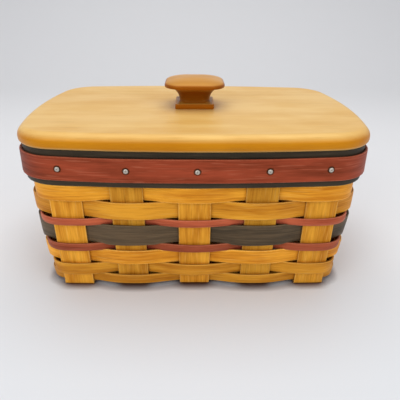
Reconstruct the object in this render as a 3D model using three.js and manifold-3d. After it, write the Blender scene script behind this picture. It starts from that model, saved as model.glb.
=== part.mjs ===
// Splint basket with a wooden lid: sixteen uprights from eight U-shaped splints, eight rows of
// weaving, a tacked rim of three bands and a lift-off lid. Millimetres, +Z up, the front faces -Y,
// and the origin is on the table under the middle of the basket.
import * as THREE from 'three';
import { mergeVertices } from 'three/addons/utils/BufferGeometryUtils.js';
import Module from 'manifold-3d';

const wasm = await Module();
wasm.setup();

// Walls, measured on the middle of the uprights at table height
const baseHalfLength = 88;
const baseHalfDepth = 54;
const cornerRadius = 10;
// How far the ends, the sides and the corner radius grow from the table to the rim, and how much of
// that growth comes early: at 0 the walls lean evenly, at 1 they curve until they stand upright
const endSpread = 8;
const sideSpread = 10;
const cornerSpread = 9.5;
const wallCurve = 1;
// How far the middle of a side stands out past its ends, at the table and at the rim
const sideBowAtBase = 0.8;
const sideBowAtRim = 7.6;
const endBowAtBase = 0.8;
const endBowAtRim = 3.5;

// Uprights
const uprightWidth = 18.4;
const uprightThickness = 1.4;
const innerUprightOffset = 38;
const outerUprightInset = 14.9;
const endUprightInset = 19;
const bendRadius = 1.6;
const baseLift = 1.2;

// Weaving rows, from the bottom up. A row springs out a little over the middle of each upright.
const weaverThickness = 1.2;
const weaverSpring = 0.65;
const rowWidths = [7, 8.5, 9.3, 5.2, 12.2, 4.5, 10.8, 9.3];
const rowGap = 0.35;
const lapRamp = 9;

// Rim bands
const greenBandWidth = 20.8;
const greenBandThickness = 2.2;
const redBandWidth = 13.6;
const redBandThickness = 1.5;
const innerBandMargin = 0.6;
const innerBandThickness = 1.6;
const scarfLength = 34;
const scarfTipThickness = 0.4;
const uprightTopDrop = 0.8;

// Tacks
const tackHeadRadius = 1.45;
const tackHeadHeight = 0.9;
const tackShankRadius = 0.6;
const tackPointLength = 1.4;
// How far right of the middle of its upright each front tack is driven
const tackShifts = [0.3, 1.8, 1.4, 1.7, -0.3];

// Lid
const lidThickness = 8.8;
const lidSideOverhang = 1.4;
const lidEndOverhang = 1.6;
// How much larger the lid's corners are than the rim's outer ones
const lidCornerGrowth = 0.5;
const lidBowLong = 7.6;
const lidBowEnd = 10;
const lidTopRound = 5.5;
const lidBottomRound = 2.5;

// Knob
const knobBaseHalf = 12.2;
const knobBaseHeight = 3;
const knobBaseCorner = 1.2;
const knobNeckHalf = 9.6;
const knobNeckHeight = 4.6;
const knobRimHalf = 18.7;
const knobRimHeight = 14.4;
const knobRimThickness = 2.8;
const knobHeight = 18.4;
// Half-width and corner of the neck where it meets the foot, and the share of its half-width that
// the corner of the neck and the cap takes
const knobFootingHalf = 10.9;
const knobFootingCorner = 3.3;
const knobCornerShare = 0.5;

// Cleats under the lid
const cleatInset = 10;
const cleatWidth = 12;
const cleatHeight = 6.5;
const cleatHalfSpan = 50;
const cleatEndRound = 4;

// Screws
const knobScrewShank = 1.8;
const knobScrewHead = 3.8;
const knobScrewBite = 9;
const cleatScrewShank = 1.4;
const cleatScrewHead = 2.8;
const cleatScrewBite = 5.5;
const cleatScrewSpacing = 66;
const screwSlotWidth = 0.8;
const screwSlotDepth = 0.7;

// Clearances
const layerGap = 0.3;
const crossingEase = 0.5;
const weaveEase = 0.6;
const tackClearance = 0.3;
const screwClearance = 0.3;
const seatGap = 0.1;

// Facets
const cornerSteps = 6;
const sideSteps = 4;
const endSteps = 2;
const bendSteps = 3;
const lidSideSteps = 5;
const lidEndSteps = 3;
const lidCornerSteps = 8;
const lidTopSteps = 4;
const lidBottomSteps = 2;
const knobCornerSteps = 4;
const knobCoveSteps = 4;
const knobCrownSteps = 5;
const cleatEndSteps = 4;
const tackSides = 8;
const tackDomeSteps = 3;
const tackHoleSides = 6;
const screwSides = 12;

// Sizes that follow from the ones above
const quarterTurn = Math.PI / 2;
const outerUprightOffset = baseHalfLength - outerUprightInset;
const endUprightOffset = baseHalfDepth - endUprightInset;
const crossOffsets = [-outerUprightOffset, -innerUprightOffset, 0, innerUprightOffset, outerUprightOffset];
const longOffsets = [-endUprightOffset, 0, endUprightOffset];
const uprightHalf = uprightWidth / 2;
const lowLevel = uprightThickness / 2;
const highLevel = lowLevel + uprightThickness + layerGap;
const weaveOffset = uprightThickness / 2 + layerGap + weaverThickness / 2;
const firstRowBottom = uprightThickness + baseLift + rowGap;
const rowsTop = firstRowBottom + rowWidths.reduce((sum, width) => sum + width + rowGap, 0);
const rimTop = rowsTop + greenBandWidth;
const rimMiddle = rowsTop + greenBandWidth / 2;
const uprightTop = rimTop - uprightTopDrop;
const greenInside = uprightThickness / 2 + layerGap;
const greenOutside = greenInside + greenBandThickness;
const redInside = greenOutside + layerGap;
const redOutside = redInside + redBandThickness;
const innerOutside = -uprightThickness / 2 - layerGap;
const innerInside = innerOutside - innerBandThickness;
const innerBandWidth = greenBandWidth - 2 * innerBandMargin;
const lidBottom = rimTop + layerGap;
const lidTop = lidBottom + lidThickness;

// Bottoms of the rows, and the heights between rows, where the curved walls have their facet lines
const rowBottoms = rowWidths.map((width, row) => (
  rowWidths.slice(0, row).reduce((sum, lower) => sum + lower + rowGap, firstRowBottom)
));
const wallLevels = rowBottoms.map((bottom, row) => bottom + rowWidths[row] + rowGap / 2);

const naturalWood = new THREE.MeshStandardMaterial({ color: 0xc98a45, roughness: 0.62, metalness: 0 });
const uprightWood = new THREE.MeshStandardMaterial({ color: 0xc58743, roughness: 0.64, metalness: 0 });
const redSplint = new THREE.MeshStandardMaterial({ color: 0x8c4630, roughness: 0.68, metalness: 0 });
const greenSplint = new THREE.MeshStandardMaterial({ color: 0x6f6a4c, roughness: 0.7, metalness: 0 });
const darkGreenSplint = new THREE.MeshStandardMaterial({ color: 0x27352e, roughness: 0.7, metalness: 0 });
const lidWood = new THREE.MeshStandardMaterial({ color: 0xe0ab62, roughness: 0.5, metalness: 0 });
const knobWood = new THREE.MeshStandardMaterial({ color: 0xb8741f, roughness: 0.48, metalness: 0 });
const nickel = new THREE.MeshStandardMaterial({ color: 0xb9b6ad, roughness: 0.35, metalness: 1 });
const zincSteel = new THREE.MeshStandardMaterial({ color: 0x9a9a96, roughness: 0.45, metalness: 1 });

// A rounded outline with bowed sides: two long arcs, two end arcs and four corner arcs, all tangent.
// Its offset by d keeps every centre and adds d to every radius.
function makeOutline(halfLength, halfDepth, corner, sideBow, endBow) {
  const sideRadius = (halfLength ** 2 + sideBow ** 2) / (2 * sideBow);
  const endRadius = (halfDepth ** 2 + endBow ** 2) / (2 * endBow);
  const sideCentre = new THREE.Vector2(0, halfDepth - sideRadius);
  const endCentre = new THREE.Vector2(halfLength - endRadius, 0);
  const fromSide = sideRadius - corner;
  const fromEnd = endRadius - corner;
  const between = endCentre.clone().sub(sideCentre);
  const distance = between.length();
  const along = (fromSide ** 2 - fromEnd ** 2 + distance ** 2) / (2 * distance);
  const across = Math.sqrt(fromSide ** 2 - along ** 2);
  const unit = between.normalize();
  const foot = sideCentre.clone().addScaledVector(unit, along);
  const cornerCentre = foot.add(new THREE.Vector2(unit.y, -unit.x).multiplyScalar(across));
  const sideAngle = Math.atan2(cornerCentre.x, cornerCentre.y - sideCentre.y);
  const endAngle = Math.atan2(cornerCentre.y, cornerCentre.x - endCentre.x);
  return { corner, sideRadius, endRadius, sideCentre, endCentre, cornerCentre, sideAngle, endAngle };
}

// Lengths along the outline: half a long side, a corner and half an end
function outlineLengths(outline) {
  const side = outline.sideRadius * outline.sideAngle;
  const corner = outline.corner * (quarterTurn - outline.sideAngle - outline.endAngle);
  const end = outline.endRadius * outline.endAngle;
  return { side, corner, end, quarter: side + corner + end };
}

// A point of the first quarter of an outline, moved out by offset, with its outward direction.
// Lengths along it are those of the reference outline, so places keep their share of each arc.
function quarterPoint(outline, lengths, local, offset) {
  let centre = outline.sideCentre;
  let radius = outline.sideRadius;
  let angle = (local / lengths.side) * outline.sideAngle;
  if (local > lengths.side + lengths.corner) {
    centre = outline.endCentre;
    radius = outline.endRadius;
    angle = quarterTurn - ((lengths.quarter - local) / lengths.end) * outline.endAngle;
  } else if (local > lengths.side) {
    const share = (local - lengths.side) / lengths.corner;
    centre = outline.cornerCentre;
    radius = outline.corner;
    angle = outline.sideAngle + share * (quarterTurn - outline.sideAngle - outline.endAngle);
  }
  const nx = Math.sin(angle);
  const ny = Math.cos(angle);
  return { x: centre.x + (radius + offset) * nx, y: centre.y + (radius + offset) * ny, nx, ny };
}

// Signs of x and y in each quarter of the outline, in the order in which a position meets them
const quarterSigns = [[1, -1], [1, 1], [-1, 1], [-1, -1]];

// Position along the whole outline starts at the front's middle and runs by the right end,
// the back and the left end
function outlinePoint(outline, lengths, position, offset) {
  const round = 4 * lengths.quarter;
  const wrapped = ((position % round) + round) % round;
  const quadrant = Math.min(quarterSigns.length - 1, Math.floor(wrapped / lengths.quarter));
  const within = wrapped - quadrant * lengths.quarter;
  const local = quadrant % 2 === 0 ? within : lengths.quarter - within;
  const [signX, signY] = quarterSigns[quadrant];
  const point = quarterPoint(outline, lengths, local, offset);
  return { x: signX * point.x, y: signY * point.y, nx: signX * point.nx, ny: signY * point.ny };
}

// The middle surface of the uprights at a height
function wallOutline(z) {
  const share = z / rimTop;
  const grown = share + wallCurve * share * (1 - share);
  const halfLength = baseHalfLength + endSpread * grown;
  const halfDepth = baseHalfDepth + sideSpread * grown;
  const corner = cornerRadius + cornerSpread * grown;
  const sideBow = sideBowAtBase + (sideBowAtRim - sideBowAtBase) * share;
  const endBow = endBowAtBase + (endBowAtRim - endBowAtBase) * share;
  return makeOutline(halfLength, halfDepth, corner, sideBow, endBow);
}

const wallLengths = outlineLengths(wallOutline(0));
const wallRound = 4 * wallLengths.quarter;

function wallPoint(position, z, offset) {
  return { ...outlinePoint(wallOutline(z), wallLengths, position, offset), z };
}

// Where each upright stands along the wall, in order from the front's left
const uprightPlaces = [
  ...crossOffsets,
  ...longOffsets.map((y) => wallLengths.quarter + y),
  ...crossOffsets.map((x) => 2 * wallLengths.quarter + x),
  ...longOffsets.map((y) => 3 * wallLengths.quarter + y),
];

// Where each tack stands along the wall, in the same order
const tackPlaces = uprightPlaces.map((place, index) => place + (tackShifts[index] ?? 0));

// The place of the tack in the upright that stands at a place
const tackPlaceAt = (place) => (
  tackPlaces[uprightPlaces.findIndex((other) => Math.abs(other - place) < uprightHalf)]
);

// Facet lines of the four corners, as positions along the wall
const cornerPlaces = [];
for (let quadrant = 0; quadrant < 4; quadrant += 1) {
  for (let step = 0; step <= cornerSteps; step += 1) {
    const local = wallLengths.side + (step / cornerSteps) * wallLengths.corner;
    const start = quadrant * wallLengths.quarter;
    cornerPlaces.push(quadrant % 2 === 0 ? start + local : start + wallLengths.quarter - local);
  }
}

const smoothStep = (share) => {
  const t = THREE.MathUtils.clamp(share, 0, 1);
  return t * t * (3 - 2 * t);
};

// A value that holds still near each stop and changes smoothly between stops
function steppedValue(position, stops, hold) {
  if (position <= stops[0].at) return stops[0].value;
  for (let index = 1; index < stops.length; index += 1) {
    const from = stops[index - 1];
    const to = stops[index];
    if (position <= to.at) {
      const share = (position - from.at - hold) / (to.at - from.at - 2 * hold);
      return from.value + (to.value - from.value) * smoothStep(share);
    }
  }
  return stops[stops.length - 1].value;
}

// Positions that a stepped strip needs: both edges of each stop and two between stops
function steppedPlaces(stops, hold) {
  const places = [];
  stops.forEach((stop, index) => {
    places.push(stop.at - hold, stop.at + hold);
    if (index + 1 < stops.length) {
      const from = stop.at + hold;
      const span = stops[index + 1].at - hold - from;
      places.push(from + span / 3, from + (2 * span) / 3);
    }
  });
  return places;
}

// Sorted places inside a range, with none nearer than a step to the one before
function placesBetween(places, start, end, step) {
  const inside = places.filter((place) => place > start + step && place < end - step);
  inside.sort((a, b) => a - b);
  const kept = [start];
  for (const place of inside) {
    if (place - kept[kept.length - 1] >= step) kept.push(place);
  }
  kept.push(end);
  return kept;
}

// Turns loose triangles into one closed body with shared vertices and outward faces
function closedBody(geometry) {
  const bare = geometry.clone();
  bare.deleteAttribute('normal');
  bare.deleteAttribute('uv');
  const merged = mergeVertices(bare, 1e-4);
  const position = merged.attributes.position;
  const source = merged.index.array;
  const kept = [];
  const a = new THREE.Vector3();
  const b = new THREE.Vector3();
  const c = new THREE.Vector3();
  let volume = 0;
  for (let i = 0; i < source.length; i += 3) {
    const corners = [source[i], source[i + 1], source[i + 2]];
    if (new Set(corners).size === 3) {
      kept.push(...corners);
      a.fromBufferAttribute(position, corners[0]);
      b.fromBufferAttribute(position, corners[1]);
      c.fromBufferAttribute(position, corners[2]);
      volume += a.dot(b.cross(c));
    }
  }
  if (volume < 0) kept.reverse();
  merged.setIndex(kept);
  merged.computeVertexNormals();
  return merged;
}

// Joins a list of equal rings of points into a closed body with flat ends
function loft(rings) {
  const size = rings[0].length;
  const points = rings.flat().flatMap((p) => [p.x, p.y, p.z]);
  const index = [];
  for (let ring = 0; ring + 1 < rings.length; ring += 1) {
    for (let k = 0; k < size; k += 1) {
      const next = (k + 1) % size;
      const low = ring * size;
      const high = low + size;
      index.push(low + k, low + next, high + next, low + k, high + next, high + k);
    }
  }
  const last = (rings.length - 1) * size;
  const half = size / 2;
  for (let k = 0; k + 1 < half; k += 1) {
    const far = size - 1 - k;
    index.push(k, far, far - 1, k, far - 1, k + 1);
    index.push(last + k, last + far - 1, last + far, last + k, last + k + 1, last + far - 1);
  }
  const geometry = new THREE.BufferGeometry();
  geometry.setAttribute('position', new THREE.Float32BufferAttribute(points, 3));
  geometry.setIndex(index);
  return closedBody(geometry);
}

function solidOf(geometry) {
  const body = closedBody(geometry);
  const vertProperties = new Float32Array(body.attributes.position.array);
  const triVerts = new Uint32Array(body.index.array);
  return new wasm.Manifold(new wasm.Mesh({ numProp: 3, vertProperties, triVerts }));
}

function cutBy(geometry, cutters) {
  const cut = cutters.reduce((body, cutter) => body.subtract(solidOf(cutter)), solidOf(geometry));
  const mesh = cut.getMesh();
  const result = new THREE.BufferGeometry();
  result.setAttribute('position', new THREE.Float32BufferAttribute(mesh.vertProperties, 3));
  result.setIndex(Array.from(mesh.triVerts));
  return closedBody(result);
}

// A turned piece, its profile given as radius and height, stood at a point along a direction
function turned(profile, sides, point, direction) {
  const geometry = new THREE.LatheGeometry(profile.map(([radius, y]) => new THREE.Vector2(radius, y)), sides);
  const up = new THREE.Vector3(0, 1, 0);
  const turn = new THREE.Quaternion().setFromUnitVectors(up, direction);
  const place = new THREE.Matrix4().compose(point, turn, new THREE.Vector3(1, 1, 1));
  return closedBody(geometry.applyMatrix4(place));
}

const basket = new THREE.Group();
basket.name = 'splint_basket';
const woven = new THREE.Group();
const lid = new THREE.Group();
basket.add(woven, lid);

function addPiece(group, name, geometry, material) {
  const mesh = new THREE.Mesh(geometry, material);
  mesh.name = name;
  group.add(mesh);
}

// The base rises a little between the outer uprights, so the basket rests near its corners
function liftAt(x) {
  const reach = outerUprightOffset - uprightHalf;
  return Math.abs(x) >= reach ? 0 : baseLift * Math.cos(quarterTurn * (x / reach)) ** 2;
}

// Tack holes are along the wall's outward direction at each upright
function tackAxis(place) {
  const point = wallPoint(place, rimMiddle, 0);
  return { point, direction: new THREE.Vector3(point.nx, point.ny, 0) };
}

function tackHole(place) {
  const { point, direction } = tackAxis(place);
  const radius = tackShankRadius + tackClearance;
  const reach = redOutside + uprightThickness;
  const profile = [[0, -reach], [radius, -reach], [radius, reach], [0, reach]];
  return turned(profile, tackHoleSides, new THREE.Vector3(point.x, point.y, point.z), direction);
}

// One U-shaped splint: down a wall, across the base and up the opposite wall.
// It runs along one axis, and lateral is its coordinate across.
function makeUpright({ centre, crossings, wallPlaces, toXY, liftOn, arcStart }) {
  const arcStep = wallLengths.corner / cornerSteps;
  const laterals = [centre - uprightHalf, centre + uprightHalf];
  for (let step = 0; step < cornerSteps; step += 1) {
    const edge = arcStart + step * arcStep;
    for (const lateral of [edge, -edge]) {
      if (Math.abs(lateral - centre) < uprightHalf - layerGap) laterals.push(lateral);
    }
  }
  laterals.sort((a, b) => a - b);
  const hold = uprightHalf + crossingEase;
  const endLevels = [crossings[0].value, crossings[crossings.length - 1].value];

  const ringOf = (pointAt) => {
    const middle = laterals.map(pointAt);
    const outer = middle.map((p) => p.position.clone().addScaledVector(p.normal, uprightThickness / 2));
    const inner = middle.map((p) => p.position.clone().addScaledVector(p.normal, -uprightThickness / 2));
    return [...outer, ...inner.reverse()];
  };
  const wallRing = (side, z) => ringOf((lateral) => {
    const p = wallPoint(wallPlaces[side](lateral), z, 0);
    return { position: new THREE.Vector3(p.x, p.y, z), normal: new THREE.Vector3(p.nx, p.ny, 0) };
  });
  const bendCentre = (side, lateral) => {
    const level = endLevels[side] + liftOn(lateral, 0);
    const wall = wallPoint(wallPlaces[side](lateral), level + bendRadius, 0);
    const run = toXY(lateral, wall);
    const foot = new THREE.Vector2(...run.at(Math.abs(run.value) - bendRadius, side));
    return { level, wall: new THREE.Vector2(wall.x, wall.y), foot };
  };
  const bendRing = (side, share) => ringOf((lateral) => {
    const { level, wall, foot } = bendCentre(side, lateral);
    const angle = share * quarterTurn;
    const flat = foot.clone().lerp(wall, Math.cos(angle));
    const out = wall.clone().sub(foot).normalize().multiplyScalar(Math.cos(angle));
    const z = level + bendRadius * (1 - Math.sin(angle));
    return {
      position: new THREE.Vector3(flat.x, flat.y, z),
      normal: new THREE.Vector3(out.x, out.y, -Math.sin(angle)),
    };
  });
  const baseRing = (run) => ringOf((lateral) => {
    const level = steppedValue(run, crossings, hold) + liftOn(lateral, run);
    const [x, y] = toXY(lateral, null).place(run);
    return { position: new THREE.Vector3(x, y, level), normal: new THREE.Vector3(0, 0, -1) };
  });

  const rings = [wallRing(0, uprightTop), ...[...wallLevels].reverse().map((z) => wallRing(0, z))];
  for (let step = 0; step <= bendSteps; step += 1) rings.push(bendRing(0, step / bendSteps));
  steppedPlaces(crossings, hold).sort((a, b) => a - b).forEach((run) => rings.push(baseRing(run)));
  for (let step = bendSteps; step >= 0; step -= 1) rings.push(bendRing(1, step / bendSteps));
  rings.push(...wallLevels.map((z) => wallRing(1, z)), wallRing(1, uprightTop));
  const holes = wallPlaces.map((place) => tackHole(tackPlaceAt(place(centre))));
  return cutBy(loft(rings), holes);
}

const levelOf = (cross, long) => ((cross + long) % 2 === 0 ? lowLevel : highLevel);

// Splints that run from front to back: the lower one wherever the two numbers add up even
crossOffsets.forEach((centre, index) => {
  const geometry = makeUpright({
    centre,
    crossings: longOffsets.map((at, other) => ({ at, value: levelOf(index, other) })),
    wallPlaces: [(x) => x, (x) => 2 * wallLengths.quarter - x],
    toXY: (x, wall) => ({
      value: wall ? wall.y : 0,
      at: (reach, side) => [x, side === 0 ? -reach : reach],
      place: (run) => [x, run],
    }),
    liftOn: (x) => liftAt(x),
    arcStart: wallLengths.side,
  });
  addPiece(woven, `cross_splint_${index + 1}`, geometry, uprightWood);
});

// Splints that run from the left end to the right end
longOffsets.forEach((centre, index) => {
  const geometry = makeUpright({
    centre,
    crossings: crossOffsets.map((at, other) => ({ at, value: lowLevel + highLevel - levelOf(other, index) })),
    wallPlaces: [(y) => 3 * wallLengths.quarter - y, (y) => wallLengths.quarter + y],
    toXY: (y, wall) => ({
      value: wall ? wall.x : 0,
      at: (reach, side) => [side === 0 ? -reach : reach, y],
      place: (run) => [run, y],
    }),
    liftOn: (y, run) => liftAt(run),
    arcStart: wallLengths.end,
  });
  addPiece(woven, `long_splint_${index + 1}`, geometry, uprightWood);
});

// A strip along the wall: a four-cornered section at each place
function wallStrip(places, faces, low, high) {
  return loft(places.map((place) => {
    const [inside, outside] = faces(place);
    return [
      wallPoint(place, low, outside),
      wallPoint(place, high, outside),
      wallPoint(place, high, inside),
      wallPoint(place, low, inside),
    ];
  }));
}

// One row of weaving: over every second upright, with its ends lapped over one upright at the back
const rowMaterials = [
  naturalWood, naturalWood, naturalWood, redSplint, greenSplint, redSplint, naturalWood, naturalWood,
];
const backMiddle = crossOffsets.length + longOffsets.length + 2;
const weaveHold = uprightHalf + weaveEase;
const lapHalf = weaveHold + rowGap;
const placeOf = (upright) => {
  const count = uprightPlaces.length;
  return uprightPlaces[upright % count] + Math.floor(upright / count) * wallRound;
};

// How far a row's middle stands out from the uprights' middle: it is curved over each upright and
// straight from one upright to the next, where it changes sides
function weaveAt(position, stops) {
  const next = stops.findIndex((stop) => stop.at >= position);
  const from = stops[next - 1];
  const to = stops[next];
  const past = position - from.at;
  const left = to.at - position;
  const springAt = (distance) => weaverSpring * (1 - (distance / weaveHold) ** 2);
  if (past < weaveHold) return from.side * (weaveOffset + springAt(past));
  if (left < weaveHold) return to.side * (weaveOffset + springAt(left));
  const share = (past - weaveHold) / (to.at - from.at - 2 * weaveHold);
  return from.side * weaveOffset * (1 - 2 * share);
}

// The laps step to and fro over the three middle uprights at the back, always where the row is outside
const lapUprights = [backMiddle - 1, backMiddle, backMiddle + 1, backMiddle];
rowWidths.forEach((width, row) => {
  const lapUpright = lapUprights[row % lapUprights.length];
  const lapAt = placeOf(lapUpright);
  const start = lapAt - lapHalf;
  const end = lapAt + wallRound + lapHalf;
  const lifted = start + wallRound;
  const stops = [];
  for (let step = -1; step <= uprightPlaces.length + 1; step += 1) {
    stops.push({ at: placeOf(lapUpright + step), side: step % 2 === 0 ? 1 : -1 });
  }
  const weavePlaces = stops.flatMap(({ at }) => [at - weaveHold, at, at + weaveHold]);
  const corners = cornerPlaces.flatMap((place) => [place, place + wallRound]);
  const lapPlaces = [end - wallRound, lifted - lapRamp, lifted];
  const places = placesBetween([...weavePlaces, ...corners, ...lapPlaces], start, end, rowGap / 2);
  const faces = (place) => {
    const lift = THREE.MathUtils.clamp((place - lifted + lapRamp) / lapRamp, 0, 1);
    const middle = weaveAt(place, stops) + lift * (weaverThickness + layerGap);
    return [middle - weaverThickness / 2, middle + weaverThickness / 2];
  };
  const geometry = wallStrip(places, faces, rowBottoms[row], rowBottoms[row] + width);
  addPiece(woven, `weaver_row_${row + 1}`, geometry, rowMaterials[row % rowMaterials.length]);
});

// A rim band: once round, its ends thinned into a scarf that a tack at the back goes through
function rimBand(inside, outside, low, high, scarfUpright) {
  const thickness = outside - inside;
  const slope = (thickness - scarfTipThickness) / scarfLength;
  const lastRun = (thickness - 2 * scarfTipThickness - layerGap) / slope;
  const start = placeOf(scarfUpright) - lastRun / 2;
  const end = start + scarfLength;
  const finish = start + wallRound + lastRun;
  const stepUp = start + wallRound - layerGap;
  const facetPlaces = [...cornerPlaces];
  for (let quadrant = 0; quadrant < quarterSigns.length; quadrant += 1) {
    const middle = quadrant * wallLengths.quarter;
    const half = quadrant % 2 === 0 ? wallLengths.side : wallLengths.end;
    const count = quadrant % 2 === 0 ? sideSteps : endSteps;
    for (let k = 1 - count; k < count; k += 1) facetPlaces.push(middle + (k / count) * half);
  }
  const places = placesBetween(
    [...facetPlaces, ...facetPlaces.map((place) => place + wallRound), end],
    start,
    stepUp - 2 * layerGap,
    layerGap,
  );
  places.push(stepUp, finish);
  const faces = (place) => {
    if (place < end) return [inside, inside + scarfTipThickness + slope * (place - start)];
    if (place < stepUp) return [inside, outside];
    const lifted = inside + scarfTipThickness + layerGap + slope * (place - stepUp - layerGap);
    return [lifted, outside];
  };
  const holes = tackPlaces.map((place) => tackHole(place));
  return cutBy(wallStrip(places, faces, low, high), holes);
}

const innerBand = rimBand(innerInside, innerOutside, rimMiddle - innerBandWidth / 2,
  rimMiddle + innerBandWidth / 2, backMiddle);
addPiece(woven, 'rim_band_inner', innerBand, naturalWood);
const greenBand = rimBand(greenInside, greenOutside, rowsTop, rimTop, backMiddle - 1);
addPiece(woven, 'rim_band_green', greenBand, darkGreenSplint);
const redBand = rimBand(redInside, redOutside, rimMiddle - redBandWidth / 2,
  rimMiddle + redBandWidth / 2, backMiddle + 1);
addPiece(woven, 'rim_band_red', redBand, redSplint);

// Tacks: a domed head on the red band and a pointed shank through every layer of the rim
const tackReach = redOutside + layerGap - innerInside;
const tackProfile = [
  [0, -tackReach],
  [tackShankRadius, tackPointLength - tackReach],
  [tackShankRadius, 0],
];
for (let step = 0; step < tackDomeSteps; step += 1) {
  const angle = (step / tackDomeSteps) * quarterTurn;
  tackProfile.push([tackHeadRadius * Math.cos(angle), tackHeadHeight * Math.sin(angle)]);
}
tackProfile.push([0, tackHeadHeight]);
tackPlaces.forEach((place, index) => {
  const { point, direction } = tackAxis(place);
  const foot = new THREE.Vector3(point.x, point.y, point.z).addScaledVector(direction, redOutside + layerGap);
  const number = String(index + 1).padStart(2, '0');
  addPiece(woven, `rim_tack_${number}`, turned(tackProfile, tackSides, foot, direction), nickel);
});

// A screw that points up from the underside: a countersunk head, a shank and a blunt tip
function screwProfile(head, shank, length, grown) {
  const taper = head - shank;
  return [
    [0, -grown],
    [head + grown, -grown],
    [head + grown, screwSlotDepth / 2],
    [shank + grown, screwSlotDepth / 2 + taper],
    [shank + grown, length - shank + grown],
    [0, length + grown],
  ];
}

const upward = new THREE.Vector3(0, 0, 1);

function makeScrew(head, shank, length, point) {
  const body = turned(screwProfile(head, shank, length, 0), screwSides, point, upward);
  const slotLength = 2 * (head + screwSlotWidth);
  const slot = new THREE.BoxGeometry(slotLength, screwSlotWidth, 2 * screwSlotDepth);
  slot.translate(point.x, point.y, point.z);
  return cutBy(body, [slot]);
}

const screwHole = (head, shank, length, point) => (
  turned(screwProfile(head, shank, length, screwClearance), screwSides, point, upward)
);

// Lid board: the rim's outline at its top, grown by the overhangs, with rounded edges
const lidOutline = makeOutline(
  baseHalfLength + endSpread + redOutside + lidEndOverhang,
  baseHalfDepth + sideSpread + redOutside + lidSideOverhang,
  cornerRadius + cornerSpread + redOutside + lidCornerGrowth,
  lidBowLong,
  lidBowEnd,
);
const lidLengths = outlineLengths(lidOutline);
const lidPlaces = [];
for (let quadrant = 0; quadrant < quarterSigns.length; quadrant += 1) {
  const locals = [];
  for (let k = 0; k < lidSideSteps; k += 1) locals.push((k / lidSideSteps) * lidLengths.side);
  for (let k = 0; k < lidCornerSteps; k += 1) {
    locals.push(lidLengths.side + (k / lidCornerSteps) * lidLengths.corner);
  }
  for (let k = 0; k < lidEndSteps; k += 1) {
    locals.push(lidLengths.side + lidLengths.corner + (k / lidEndSteps) * lidLengths.end);
  }
  const forward = quadrant % 2 === 0;
  if (!forward) locals.push(lidLengths.quarter);
  if (!forward) locals.shift();
  const start = quadrant * lidLengths.quarter;
  const mapped = locals.map((local) => (forward ? start + local : start + lidLengths.quarter - local));
  mapped.sort((a, b) => a - b);
  lidPlaces.push(...mapped);
}

const lidRing = (z, inset) => lidPlaces.map((place) => {
  const p = outlinePoint(lidOutline, lidLengths, place, -inset);
  return new THREE.Vector3(p.x, p.y, z);
});

const lidEdge = [];
for (let step = 0; step <= lidBottomSteps; step += 1) {
  const angle = (step / lidBottomSteps) * quarterTurn;
  lidEdge.push([lidBottom + lidBottomRound * (1 - Math.cos(angle)), lidBottomRound * (1 - Math.sin(angle))]);
}
for (let step = 0; step <= lidTopSteps; step += 1) {
  const angle = (step / lidTopSteps) * quarterTurn;
  lidEdge.push([lidTop - lidTopRound * (1 - Math.sin(angle)), lidTopRound * (1 - Math.cos(angle))]);
}

const knobScrewPoint = new THREE.Vector3(0, 0, lidBottom + seatGap);
const knobScrewLength = lidThickness + knobScrewBite;
const cleatOffset = baseHalfLength - cleatInset;
const cleatBottom = lidBottom - seatGap - cleatHeight;
const cleatScrewLength = cleatHeight + cleatScrewBite;
const cleatScrewPoints = [];
for (const x of [-cleatOffset, cleatOffset]) {
  for (const y of [-cleatScrewSpacing / 2, cleatScrewSpacing / 2]) {
    cleatScrewPoints.push(new THREE.Vector3(x, y, cleatBottom + seatGap));
  }
}
const knobScrewHole = screwHole(knobScrewHead, knobScrewShank, knobScrewLength, knobScrewPoint);
const cleatScrewHoles = cleatScrewPoints.map((point) => (
  screwHole(cleatScrewHead, cleatScrewShank, cleatScrewLength, point)
));

const lidBoard = loft(lidEdge.map(([z, inset]) => lidRing(z, inset)));
addPiece(lid, 'lid_board', cutBy(lidBoard, [knobScrewHole, ...cleatScrewHoles]), lidWood);

// Knob: a square foot, a coved neck and a crowned square cap, all with rounded corners
const squareRing = (z, half, corner) => {
  const points = [];
  const reach = half - corner;
  for (let quadrant = 0; quadrant < quarterSigns.length; quadrant += 1) {
    const diagonal = (quadrant + 0.5) * quarterTurn;
    const centreX = reach * Math.sign(Math.cos(diagonal));
    const centreY = reach * Math.sign(Math.sin(diagonal));
    for (let step = 0; step <= knobCornerSteps; step += 1) {
      const angle = (quadrant + step / knobCornerSteps) * quarterTurn;
      const x = centreX + corner * Math.cos(angle);
      const y = centreY + corner * Math.sin(angle);
      points.push(new THREE.Vector3(x, y, lidTop + seatGap + z));
    }
  }
  return points;
};

const knobRings = [
  squareRing(0, knobBaseHalf, knobBaseCorner),
  squareRing(knobBaseHeight, knobBaseHalf, knobBaseCorner),
  squareRing(knobBaseHeight + layerGap, knobFootingHalf, knobFootingCorner),
];
const coveTop = knobRimHeight - knobRimThickness / 2;
for (let step = 0; step <= knobCoveSteps; step += 1) {
  const angle = (step / knobCoveSteps) * quarterTurn;
  const half = knobNeckHalf + (knobRimHalf - layerGap - knobNeckHalf) * (1 - Math.cos(angle));
  const z = knobNeckHeight + (coveTop - knobNeckHeight) * Math.sin(angle);
  knobRings.push(squareRing(z, half, half * knobCornerShare));
}
for (let step = 0; step < knobCrownSteps; step += 1) {
  const angle = (step / knobCrownSteps) * quarterTurn;
  const half = knobRimHalf * Math.cos(angle);
  const z = knobRimHeight + (knobHeight - knobRimHeight) * Math.sin(angle);
  knobRings.push(squareRing(z, half, half * knobCornerShare));
}
addPiece(lid, 'lid_knob', cutBy(loft(knobRings), [knobScrewHole]), knobWood);
const knobScrew = makeScrew(knobScrewHead, knobScrewShank, knobScrewLength, knobScrewPoint);
addPiece(lid, 'knob_screw', knobScrew, zincSteel);

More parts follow.
